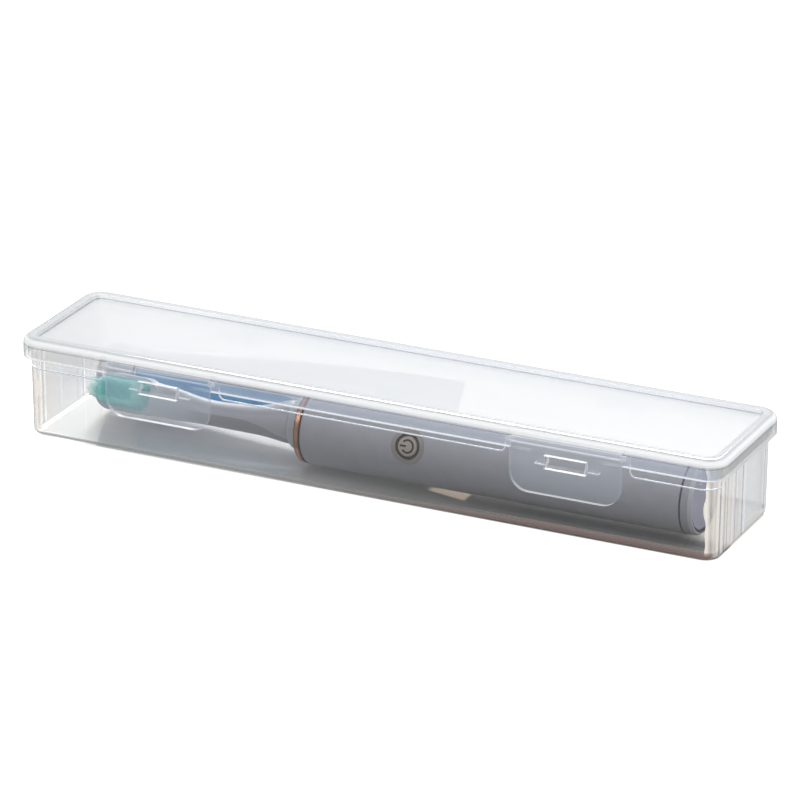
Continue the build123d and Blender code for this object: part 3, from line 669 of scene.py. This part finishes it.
# the band round the base's mouth; the front wall flares from its foot to its top
bandPlaces = {
    "halfMiddle": 52.8, "endFrom": 97.4, "endTo": 122.2, "middleBottom": 26.5, "endBottom": 25.5,
    "top": 29.6, "corner": 2.0, "turnStep": 15, "turns": 5, "plan": 5.2, "planSteps": 8,
    "footHalfWidth": 23.95, "flare": 0.85, "wallTop": 32.9, "proud": 0.62, "endHalf": 127.45,
    "ledgeReach": (7.6, 11.4), "ledgeY": -26.3, "ledgeZ": 24.75,
}


# y of the band's face at a height, on the front wall
def bandFace(height):
    lean = bandPlaces["flare"] * height / bandPlaces["wallTop"]
    return -(bandPlaces["footHalfWidth"] + lean) - bandPlaces["proud"]


def bandPath(low, high, bottom, lowTurn=True, highTurn=True):
    at = bandPlaces
    corner = at["corner"]
    bends = []
    for step in range(1, at["turns"] + 1):
        turn = math.radians(at["turnStep"] * step)
        bends.append((corner * (1 - math.cos(turn)), corner * (1 - math.sin(turn))))
    flatPath = []
    if lowTurn:
        flatPath += [(low, at["top"]), (low, bottom + corner)]
        flatPath += [(low + across, bottom + rise) for across, rise in bends]
    flatPath += [(low + corner, bottom), (high - corner, bottom)]
    if highTurn:
        flatPath += [(high - rise, bottom + across) for across, rise in bends]
        flatPath += [(high, bottom + corner), (high, at["top"])]
    return [Vector((x, bandFace(z), z)) * mm for x, z in flatPath]


# carries a band's edge round the base's corner, dying away on the end wall
def cornerPath(side, height):
    at = bandPlaces
    radius, proud, steps = at["plan"], at["proud"], at["planSteps"]
    points = []
    for step in range(steps + 1):
        turn = math.radians(90 * step / steps)
        reach = radius + proud * (1 - step / steps) ** 2
        x = at["endHalf"] - radius + reach * math.sin(turn)
        y = bandFace(height) + proud + radius - reach * math.cos(turn)
        points.append(Vector((side * x, y, height)) * mm)
    return points


# painted highlight: thin glowing wires stand for the light caught by the rounded lower edge of each band on
# the front wall, and by the ledges beside each latch
def buildBandEdges(material):
    at = bandPlaces
    inner, start, stop = at["halfMiddle"], at["endFrom"], at["endTo"]
    bottom = at["endBottom"]
    paths = [
        bandPath(-inner, inner, at["middleBottom"]),
        list(reversed(cornerPath(-1, bottom))) + bandPath(-stop, -start, bottom, lowTurn=False)[1:],
        bandPath(start, stop, bottom, highTurn=False)[:-1] + cornerPath(1, bottom),
    ]
    for side in (-1, 1):
        for end in (-1, 1):
            ends = [side * latchX + end * reach for reach in at["ledgeReach"]]
            paths.append([Vector((x, at["ledgeY"], at["ledgeZ"])) * mm for x in ends])
    shapes = [wire(path, highlightWireLook["radius"] * mm) for path in paths]
    piece = buildMesh("bandEdges", *joinShapes(shapes), material)
    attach(piece, "case_base")


bossLook = {
    "radius": 1.3, "height": 0.55, "y": -27.1, "z": 31.9, "reach": 20.2, "sink": 0.35, "rings": 5,
    "sides": 20, "colour": (0.84, 0.88, 0.90, 1), "roughness": 0.2, "haze": 0.3, "slantHaze": 0.7,
    "glow": 0.25, "grainScale": 500.0, "grainDepth": 0.1, "grain": 0.3,
}


# one low dome standing out of the lid's front
def bossShape(x):
    base, sides = bossLook["y"] + bossLook["sink"], bossLook["sides"]
    points = [Vector((x, base - bossLook["height"], bossLook["z"])) * mm]
    for ring in range(1, bossLook["rings"] + 1):
        lean = math.pi / 2 * ring / bossLook["rings"]
        reach = bossLook["radius"] * math.sin(lean)
        depth = base - bossLook["height"] * math.cos(lean)
        for step in range(sides):
            turn = 2 * math.pi * step / sides
            z = bossLook["z"] + reach * math.sin(turn)
            points.append(Vector((x + reach * math.cos(turn), depth, z)) * mm)
    faces = [(0, 1 + (step + 1) % sides, 1 + step) for step in range(sides)]
    return points, faces + ringFaces(bossLook["rings"], sides, 1)


# the domed ends of the hinge pins, beside the upper corners of each flap
def buildPinBosses(material):
    shapes = [bossShape(side * latchX + end * bossLook["reach"]) for side in (-1, 1) for end in (-1, 1)]
    piece = buildMesh("pinBosses", *joinShapes(shapes), material)
    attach(piece, "case_lid")


# clear domes with a faint painted glow, though they are no lamp
def bossMaterial():
    material = newMaterial("clearBoss")
    place, _, _ = restPlace(material)
    slant = product(facingShare(material), bossLook["slantHaze"])
    opacity = calc("ADD", slant, bossLook["haze"], clamp=True)
    relief = bump(noise(place, bossLook["grainScale"]), bossLook["grainDepth"] * mm, bossLook["grain"])
    return solidMaterial(material, bossLook["colour"], bossLook["roughness"], Alpha=opacity, Normal=relief,
                         Emission_Color=bossLook["colour"], Emission_Strength=bossLook["glow"])


# the faint unevenness of every moulded or turned surface
grain = {
    "mottleScale": 260.0, "mottleDetail": 3.0, "mottleSpan": (0.3, 0.7), "dirt": 0.06, "darker": 0.97,
    "roughScale": 900.0, "roughSpan": (0.2, 0.8), "roughShares": (0.9, 1.1),
    "reliefScale": 4000.0, "reliefDepth": 0.02, "relief": 0.2,
    "brushStretch": (8.0, 1.0, 1.0), "brushDepth": 0.01, "brush": 0.3, "brushShares": (0.8, 1.2),
}


def mottle(place, high=1.0):
    spots = noise(place, grain["mottleScale"], grain["mottleDetail"])
    return ramp(spots, *grain["mottleSpan"], 0.0, high)


def fineRelief(place):
    return bump(noise(place, grain["reliefScale"]), grain["reliefDepth"] * mm, grain["relief"])


def brushed(place, scale):
    lines = noise(place, scale, stretch=grain["brushStretch"])
    return lines, bump(lines, grain["brushDepth"] * mm, grain["brush"])


def satinPlastic(name, colour, roughness):
    material = newMaterial(name)
    place, _, _ = restPlace(material)
    darker = tuple(part * grain["darker"] for part in colour[:3]) + (1,)
    tone = blendColour(mottle(place), darker, colour)
    low, high = grain["roughShares"]
    rough = ramp(noise(place, grain["roughScale"]), *grain["roughSpan"], roughness * low, roughness * high)
    return solidMaterial(material, tone, rough, Normal=fineRelief(place))


metalScale = 600.0


def metal(name, colour, roughness):
    material = newMaterial(name)
    place, _, _ = restPlace(material)
    lines, relief = brushed(place, metalScale)
    low, high = grain["brushShares"]
    rough = ramp(lines, *grain["roughSpan"], roughness * low, roughness * high)
    return solidMaterial(material, colour, rough, Metallic=1.0, Normal=relief)


handleAxis = {"y": -6.5, "z": 14.7}

trimLook = {
    "colour": (0.72, 0.36, 0.22, 1), "edge": (0.06, 0.03, 0.02, 1), "middle": -27.2,
    "darkFrom": (0.42, 0.96), "roughness": 0.22, "metallic": 0.85, "brushScale": 900.0,
}


# polished copper band; painted reflection: its rounded edges are darkened in colour
def trimMaterial():
    look = trimLook
    material = newMaterial("roseGold")
    place, point, _ = restPlace(material)
    off = absolute(minus(point[0], look["middle"] * mm))
    tone = blendColour(fade(off, look["darkFrom"]), look["colour"], look["edge"])
    _, relief = brushed(place, look["brushScale"])
    return solidMaterial(material, tone, look["roughness"], Metallic=look["metallic"], Normal=relief)


handleLook = {
    "colour": (0.64, 0.64, 0.71, 1), "seam": (0.05, 0.045, 0.045, 1), "seamLine": (112.45, 0.32),
    "seamDepth": 0.9, "roughness": 0.32,
}


# satin white, with a dark line in the joint before the foot
def handleMaterial():
    material = newMaterial("handleWhite")
    place, point, _ = restPlace(material)
    seam = product(stripes(point[0], handleLook["seamLine"]), handleLook["seamDepth"])
    dark = largest(seam, mottle(place, grain["dirt"]))
    tone = blendColour(dark, handleLook["colour"], handleLook["seam"])
    return solidMaterial(material, tone, handleLook["roughness"], Normal=fineRelief(place))


headLook = {
    "colour": (0.66, 0.67, 0.74, 1), "under": (0.40, 0.41, 0.45, 1), "roughness": 0.45,
    "neckShadeX": (-54.0, -30.0), "neckShadeFacing": (0.34, -0.55), "neckShadeSoft": 0.06, "neckX": (-76.0, -66.0),
    "neckShadeDepth": 0.7, "crownFacing": (0.5, 0.85), "crownX": (-88.0, -80.0), "crownDepth": 0.6,
    "glowX": (-70.0, -90.0), "glow": 0.10,
}


# satin white, with painted shade: a darker wedge that widens under the neck towards the handle and a darker
# top of the neck; and a faint painted glow towards the head's end
def headMaterial():
    look = headLook
    material = newMaterial("headWhite")
    place, point, normal = restPlace(material)
    # painted shade: a darker wedge on the underside of the neck
    lowest = fade(point[0], look["neckShadeX"], *look["neckShadeFacing"])
    neckShade = product(ramp(minus(lowest, normal[2]), 0.0, look["neckShadeSoft"]),
                     fade(point[0], look["neckX"]), look["neckShadeDepth"])
    dark = largest(neckShade, mottle(place, grain["dirt"]))
    tone = blendColour(dark, look["colour"], look["under"])
    # painted shade: the upward faces of the neck darkened
    crown = product(ramp(normal[2], *look["crownFacing"]),
                    fade(point[0], look["crownX"]), look["crownDepth"])
    tone = blendColour(crown, tone, look["under"])
    # painted light: a faint glow towards the head's end lightens it
    glow = fade(point[0], look["glowX"], 0.0, look["glow"])
    return solidMaterial(material, tone, look["roughness"], Normal=fineRelief(place),
                         Emission_Color=tone, Emission_Strength=glow)


footLook = {
    "colour": (0.60, 0.60, 0.68, 1), "disc": (0.48, 0.50, 0.66, 1), "rim": (0.80, 0.80, 0.86, 1),
    "endX": 115.2, "discRadius": 10.75, "grooveLine": (11.3, 0.5), "grooveDepth": 0.8, "rimRadius": 11.85,
    "seamLine": (112.45, 0.3),
}


# the foot: painted highlight on the bright rounded rim, painted shade in the dark ring groove, and a cooler
# disc
def footMaterial():
    look = footLook
    material = newMaterial("footWhite")
    place, point, _ = restPlace(material)
    y = minus(point[1], handleAxis["y"] * mm)
    z = minus(point[2], handleAxis["z"] * mm)
    reach = calc("SQRT", plus(product(y, y), product(z, z)))
    endFace = above(point[0], look["endX"] * mm)
    disc = product(endFace, below(reach, look["discRadius"] * mm))
    # painted shade in the ring groove and painted highlight on the rim
    groove = product(endFace, stripes(reach, look["grooveLine"]), look["grooveDepth"])
    rim = product(endFace, above(reach, look["rimRadius"] * mm))
    seam = product(stripes(point[0], look["seamLine"]), handleLook["seamDepth"])
    tone = blendColour(disc, look["colour"], look["disc"])
    tone = blendColour(rim, tone, look["rim"])
    tone = blendColour(largest(groove, seam), tone, handleLook["seam"])
    return solidMaterial(material, tone, handleLook["roughness"], Normal=fineRelief(place))


symbolLook = {
    "x": 14.2, "tilt": 19.0, "arcRadius": 2.1, "halfLine": 0.34, "openHalf": 40.0, "arcSteps": 40,
    "dashFrom": 0.5, "dashTo": 2.75, "dashSteps": 4, "low": 13.0, "high": 13.14,
    "colour": (0.020, 0.012, 0.008, 1), "roughness": 0.5,
}


# a point on the handle's round side, x along it and v up across the button
def onHandle(x, v, radius):
    tilt = math.radians(symbolLook["tilt"])
    out = Vector((0, -math.cos(tilt), math.sin(tilt)))
    across = Vector((0, math.sin(tilt), math.cos(tilt)))
    rise = math.sqrt(radius * radius - v * v)
    axis = Vector((0, handleAxis["y"], handleAxis["z"]))
    return (axis + out * rise + across * v + Vector((symbolLook["x"] + x, 0, 0))) * mm


def ribbon(line, half):
    points, faces = [], []
    for index, (x, v) in enumerate(line):
        before = Vector(line[max(index - 1, 0)])
        after = Vector(line[min(index + 1, len(line) - 1)])
        along = (after - before).normalized()
        side = Vector((-along.y, along.x)) * half
        for sign, radius in ((1, symbolLook["low"]), (1, symbolLook["high"]),
                             (-1, symbolLook["high"]), (-1, symbolLook["low"])):
            points.append(onHandle(x + side.x * sign, v + side.y * sign, radius))
    for index in range(len(line) - 1):
        for step in range(3):
            here = index * 4 + step
            faces.append((here, here + 1, here + 5, here + 4))
    last = (len(line) - 1) * 4
    faces.append((3, 2, 1, 0))
    faces.append((last, last + 1, last + 2, last + 3))
    return points, faces


# the power mark on the button: an open ring with a short bar across the gap
def buildPowerMark():
    look = symbolLook
    half, radius = look["openHalf"], look["arcRadius"]
    start, stop = look["dashFrom"], look["dashTo"]
    arc = []
    for step in range(look["arcSteps"] + 1):
        turn = math.radians(half - 180 + (360 - 2 * half) * step / look["arcSteps"])
        arc.append((radius * math.cos(turn), radius * math.sin(turn)))
    steps = look["dashSteps"]
    dash = [(-start - (stop - start) * step / steps, 0.0) for step in range(steps + 1)]
    shapes = [ribbon(arc, look["halfLine"]), ribbon(dash, look["halfLine"])]
    material = satinPlastic("markBrown", look["colour"], look["roughness"])
    piece = buildMesh("powerMark", *joinShapes(shapes), material, smooth=False)
    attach(piece, "button")


# the tufts root in a grid of holes; their tips draw together, lean and stagger
bristles = {
    "tilt": 22.0, "x": -96.8, "sinkY": -1.2, "sinkZ": -0.2, "along": 2.35, "across": 2.15,
    "columns": (-4, 4), "rows": 5, "endRows": 4, "centreHalf": (3, 1.5), "seed": 7, "drawAlong": 0.88,
    "drawAcross": 0.72, "liftAcross": 0.9, "shiftAlong": -0.9, "endLean": 1.3, "endFrom": -7.2,
    "stagger": 0.7, "root": 1.2, "tip": 11.8, "shorter": 1.0, "radius": 0.085, "tuft": 0.82,
    "rootShare": 0.85, "splay": 0.15, "count": 44, "profile": ((0.0, 1.0), (0.93, 1.0), (1.0, 0.3)),
}

bristleLook = {
    "centreBristles": ("tealBristle", (0.13, 0.50, 0.50, 1), (0.24, 0.66, 0.66, 1), "centre_tufts"),
    "outerBristles": ("whiteBristle", (0.22, 0.56, 0.56, 1), (0.40, 0.76, 0.75, 1), "outer_tufts"),
    "endTip": (0.86, 0.93, 0.92, 1), "glow": 0.16, "roughness": 0.4,
    "paleFrom": (3.0, 11.5), "endX": (-101.0, -106.0), "endFrom": (6.0, 10.5),
    "mottleScale": 1500.0, "mottleSpan": (0.35, 0.65), "mottle": 0.35,
}


def headPoint(x, v, d):
    tilt = math.radians(bristles["tilt"])
    y = handleAxis["y"] + bristles["sinkY"] - d * math.cos(tilt) + v * math.sin(tilt)
    z = handleAxis["z"] + bristles["sinkZ"] + d * math.sin(tilt) + v * math.cos(tilt)
    return Vector((bristles["x"] + x, y, z)) * mm


# darker towards the roots and paler towards the tips and the end of the head, with random spots and a faint
# painted glow over all
def bristleMaterial(name, foot, tip):
    look = bristleLook
    material = newMaterial(name)
    place, point, _ = restPlace(material)
    tilt = math.radians(bristles["tilt"])
    middleY, middleZ = handleAxis["y"] + bristles["sinkY"], handleAxis["z"] + bristles["sinkZ"]
    zero = middleZ * math.sin(tilt) - middleY * math.cos(tilt)
    reach = plus(product(point[1], -math.cos(tilt)), product(point[2], math.sin(tilt)))
    outward = minus(reach, zero * mm)
    tone = blendColour(fade(outward, look["paleFrom"]), foot, tip)
    spots = ramp(noise(place, look["mottleScale"]), *look["mottleSpan"], 0.0, look["mottle"])
    tone = blendColour(spots, tone, tip)
    atEnd = product(fade(point[0], look["endX"]), fade(outward, look["endFrom"]))
    tone = blendColour(atEnd, tone, look["endTip"])
    return solidMaterial(material, tone, look["roughness"], Emission_Color=tone,
                         Emission_Strength=look["glow"])


# one slim four-sided filament with a narrower tip
def filament(chance, x, v, count):
    turn = chance.uniform(0, 2 * math.pi)
    reach = math.sqrt(chance.uniform(0, 1)) * bristles["tuft"]
    rootX = x + reach * bristles["rootShare"] * math.cos(turn)
    rootV = v + reach * bristles["rootShare"] * math.sin(turn)
    spread = reach * (1 + bristles["splay"])
    tipX = x * bristles["drawAlong"] + bristles["shiftAlong"] + spread * math.cos(turn)
    tipX += min(x - bristles["endFrom"], 0.0) * bristles["endLean"] * (1 + count % 2)
    tipV = v * bristles["drawAcross"] + bristles["liftAcross"] + spread * math.sin(turn)
    tip = bristles["tip"] - chance.uniform(0, bristles["shorter"]) - bristles["stagger"] * (count % 2)
    points = []
    for place, size in bristles["profile"]:
        d = bristles["root"] + (tip - bristles["root"]) * place
        midX = rootX + (tipX - rootX) * place
        midV = rootV + (tipV - rootV) * place
        for corner in range(4):
            spin = math.pi / 2 * corner + turn
            step = bristles["radius"] * size
            points.append(headPoint(midX + step * math.cos(spin), midV + step * math.sin(spin), d))
    return points, ringFaces(3, 4) + [(8, 9, 10, 11)]


def buildBristles():
    chance = random.Random(bristles["seed"])
    groups = {"centreBristles": [], "outerBristles": []}
    first, stop = bristles["columns"]
    along, across = bristles["along"], bristles["across"]
    halfX, halfV = bristles["centreHalf"]
    for column in range(first, stop):
        x = (column + 0.5) * along
        rows = bristles["endRows"] if column in (first, stop - 1) else bristles["rows"]
        for row in range(rows):
            v = (row - (rows - 1) / 2) * across
            centre = abs(x) < halfX * along and abs(v) < halfV * across
            name = "centreBristles" if centre else "outerBristles"
            for _ in range(bristles["count"]):
                groups[name].append(filament(chance, x, v, column + row))
    for name, shapes in groups.items():
        materialName, foot, tip, node = bristleLook[name]
        piece = buildMesh(name, *joinShapes(shapes), bristleMaterial(materialName, foot, tip), smooth=False)
        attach(piece, "head")
        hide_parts(node)


tube = {
    "y": 11.0, "z": 13.3, "radius": 11.45, "start": -99.0, "crimpStart": 9.0, "end": 16.5,
    "topY": 22.0, "topZ": 28.0, "halfDrop": 15.5, "crimpWidth": 30.9, "lean": 54.5, "thick": 1.1,
    "flatPower": 1.5, "wrinkle": 0.35, "wrinkleWaves": (0.31, 2.0, 1.3, 0.11), "ribs": 0.12,
    "ribStep": 1.25, "thinnest": 0.3, "wideDent": 0.2, "bodySteps": 90, "crimpSteps": 48, "sides": 64,
}


# the soft tube: round at the shoulder, folding flat towards its ribbed crimp
def tubePoint(x, turn):
    share = min(max((x - tube["start"]) / (tube["crimpStart"] - tube["start"]), 0.0), 1.0)
    lean = math.radians(tube["lean"])
    flatY = tube["topY"] - math.cos(lean) * tube["halfDrop"]
    flatZ = tube["topZ"] - math.sin(lean) * tube["halfDrop"]
    y = tube["y"] + (flatY - tube["y"]) * share
    z = tube["z"] + (flatZ - tube["z"]) * share
    thick = tube["radius"] * (1 - share) ** tube["flatPower"] + share * tube["thick"] / 2
    wide = tube["radius"] + (tube["crimpWidth"] / 2 - tube["radius"]) * math.sin(share * math.pi / 2)
    if x > tube["crimpStart"]:
        wave, depth = math.cos(2 * math.pi * (x - tube["crimpStart"]) / tube["ribStep"]), tube["ribs"]
    else:
        along, around, drift, slow = tube["wrinkleWaves"]
        wave = math.sin(along * x + around * math.sin(turn) + drift * math.sin(slow * x))
        depth = math.sin(math.pi * share) * tube["wrinkle"]
    dent = depth * (0.5 + 0.5 * wave)
    across = math.cos(turn) * (wide - dent * tube["wideDent"])
    through = math.sin(turn) * max(thick - dent, tube["thinnest"])
    return Vector((x, y + across * math.cos(lean) - through * math.sin(lean),
                   z + across * math.sin(lean) + through * math.cos(lean))) * mm


# the blue field's top edge slopes down towards the crimp, and its foot rises to meet it in a point
tubeLook = {
    "white": (0.74, 0.75, 0.85, 1), "blue": (0.045, 0.275, 0.58, 1), "paleBlue": (0.11, 0.40, 0.71, 1),
    "blueScale": 60.0, "blueSpan": (0.3, 0.7), "roughness": 0.3,
    "topZ": 19.4, "topFrom": -97.0, "topSlope": -0.048, "footX": (-52.0, -39.5), "footZ": (6.0, 15.9),
    "dropX": (-46.0, -39.0), "drop": 1.1, "soft": 0.25, "fieldEnd": -39.0,
    "patchX": (-8.5, 5.0), "patchZ": 20.8, "patchSoft": (2.3, 1.6), "patchShare": 0.5,
    "creaseScale": 140.0, "creaseStretch": (0.4, 1.0, 1.0), "creaseDepth": 0.6, "crease": 0.3,
}


# white laminate with a plain blue field on each side that runs out to a point, and a small pale patch
def tubeMaterial():
    look = tubeLook
    material = newMaterial("tubeLaminate")
    place, point, _ = restPlace(material)
    sloped = product(minus(point[0], look["topFrom"] * mm), look["topSlope"])
    top = plus(sloped, look["topZ"] * mm)
    drop = fade(point[0], look["dropX"], 0.0, look["drop"] * mm)
    foot = fade(point[0], look["footX"], *[z * mm for z in look["footZ"]])
    soft = (0.0, look["soft"])
    field = product(fade(minus(minus(top, drop), point[2]), soft),
                    fade(minus(point[2], foot), soft),
                    below(point[0], look["fieldEnd"] * mm))
    offPatch = absolute(minus(point[2], look["patchZ"] * mm))
    patch = product(stripes(point[0], look["patchX"]), fade(offPatch, look["patchSoft"]),
                    look["patchShare"])
    clouds = ramp(noise(place, look["blueScale"]), *look["blueSpan"])
    blue = blendColour(clouds, look["blue"], look["paleBlue"])
    tone = blendColour(largest(field, patch), look["white"], blue)
    creases = noise(place, look["creaseScale"], stretch=look["creaseStretch"])
    relief = bump(creases, look["creaseDepth"] * mm, look["crease"])
    return solidMaterial(material, tone, look["roughness"], Normal=relief)


def buildTube():
    start, crimp, end, sides = tube["start"], tube["crimpStart"], tube["end"], tube["sides"]
    bodySteps, crimpSteps = tube["bodySteps"], tube["crimpSteps"]
    places = [start + (crimp - start) * step / bodySteps for step in range(bodySteps + 1)]
    places += [crimp + (end - crimp) * (step + 1) / crimpSteps for step in range(crimpSteps)]
    points = [tubePoint(x, 2 * math.pi * step / sides) for x in places for step in range(sides)]
    last = (len(places) - 1) * sides
    faces = ringFaces(len(places), sides)
    faces.append(tuple(range(last, last + sides)))
    faces.append(tuple(reversed(range(sides))))
    piece = buildMesh("softTube", points, faces, tubeMaterial())
    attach(piece, "paste_tube")
    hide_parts("tube_body")


# colour, roughness and the CAD nodes that share each plain finish
satinLooks = {
    "buttonBeige": ((0.70, 0.60, 0.52, 1), 0.4, "power_button"),
    "bezelBeige": ((0.50, 0.46, 0.43, 1), 0.35, "button_bezel"),
    "grooveBrown": ((0.07, 0.045, 0.03, 1), 0.5, "button_seal"),
    "capWhite": ((0.80, 0.80, 0.85, 1), 0.3, "tube_cap", "tube_shoulder"),
    "blackRubber": ((0.03, 0.03, 0.03, 1), 0.6, "base_seal", "shaft_seal"),
    "carrierBlack": ((0.03, 0.03, 0.035, 1), 0.5, "chassis", "power_switch"),
    "boardGreen": ((0.02, 0.12, 0.06, 1), 0.4, "circuit_board"),
    "cellWrap": ((0.05, 0.22, 0.12, 1), 0.3, "battery"),
    "naturalNylon": ((0.7, 0.69, 0.62, 1), 0.45, "coil_bobbin", "head_insert"),
}

metalLooks = {
    "shaftSteel": ((0.6, 0.61, 0.63, 1), 0.25, "drive_shaft", "motor"),
    "copperWire": ((0.75, 0.36, 0.2, 1), 0.3, "charging_coil"),
}

buildCamera()
buildFloor()
buildWorld()
buildLamps()
print("stage ready")

dress(clearPlastic("clearLid", lidLook, lidVeil), "lid")
dress(clearPlastic("clearTray", trayLook, trayVeil), "base_tray")
dress(clearPlastic("frostedFlap", flapLook, flapVeil), "latch_flap_left", "latch_flap_right")
print("case finishes ready")

dress(handleMaterial(), "handle_shell", "shoulder_cap")
dress(footMaterial(), "base_cap")
dress(headMaterial(), "brush_head")
dress(trimMaterial(), "trim_ring")
for name, (colour, roughness, *nodes) in satinLooks.items():
    dress(satinPlastic(name, colour, roughness), *nodes)
for name, (colour, roughness, *nodes) in metalLooks.items():
    dress(metal(name, colour, roughness), *nodes)
print("inner finishes ready")

buildBandEdges(highlightWireMaterial())
buildPinBosses(bossMaterial())
buildPowerMark()
buildBristles()
buildTube()
print("pieces ready")

bpy.context.scene.view_settings.view_transform = "Standard"
bpy.context.scene.cycles.transparent_max_bounces = 64  # many clear walls stand one behind another
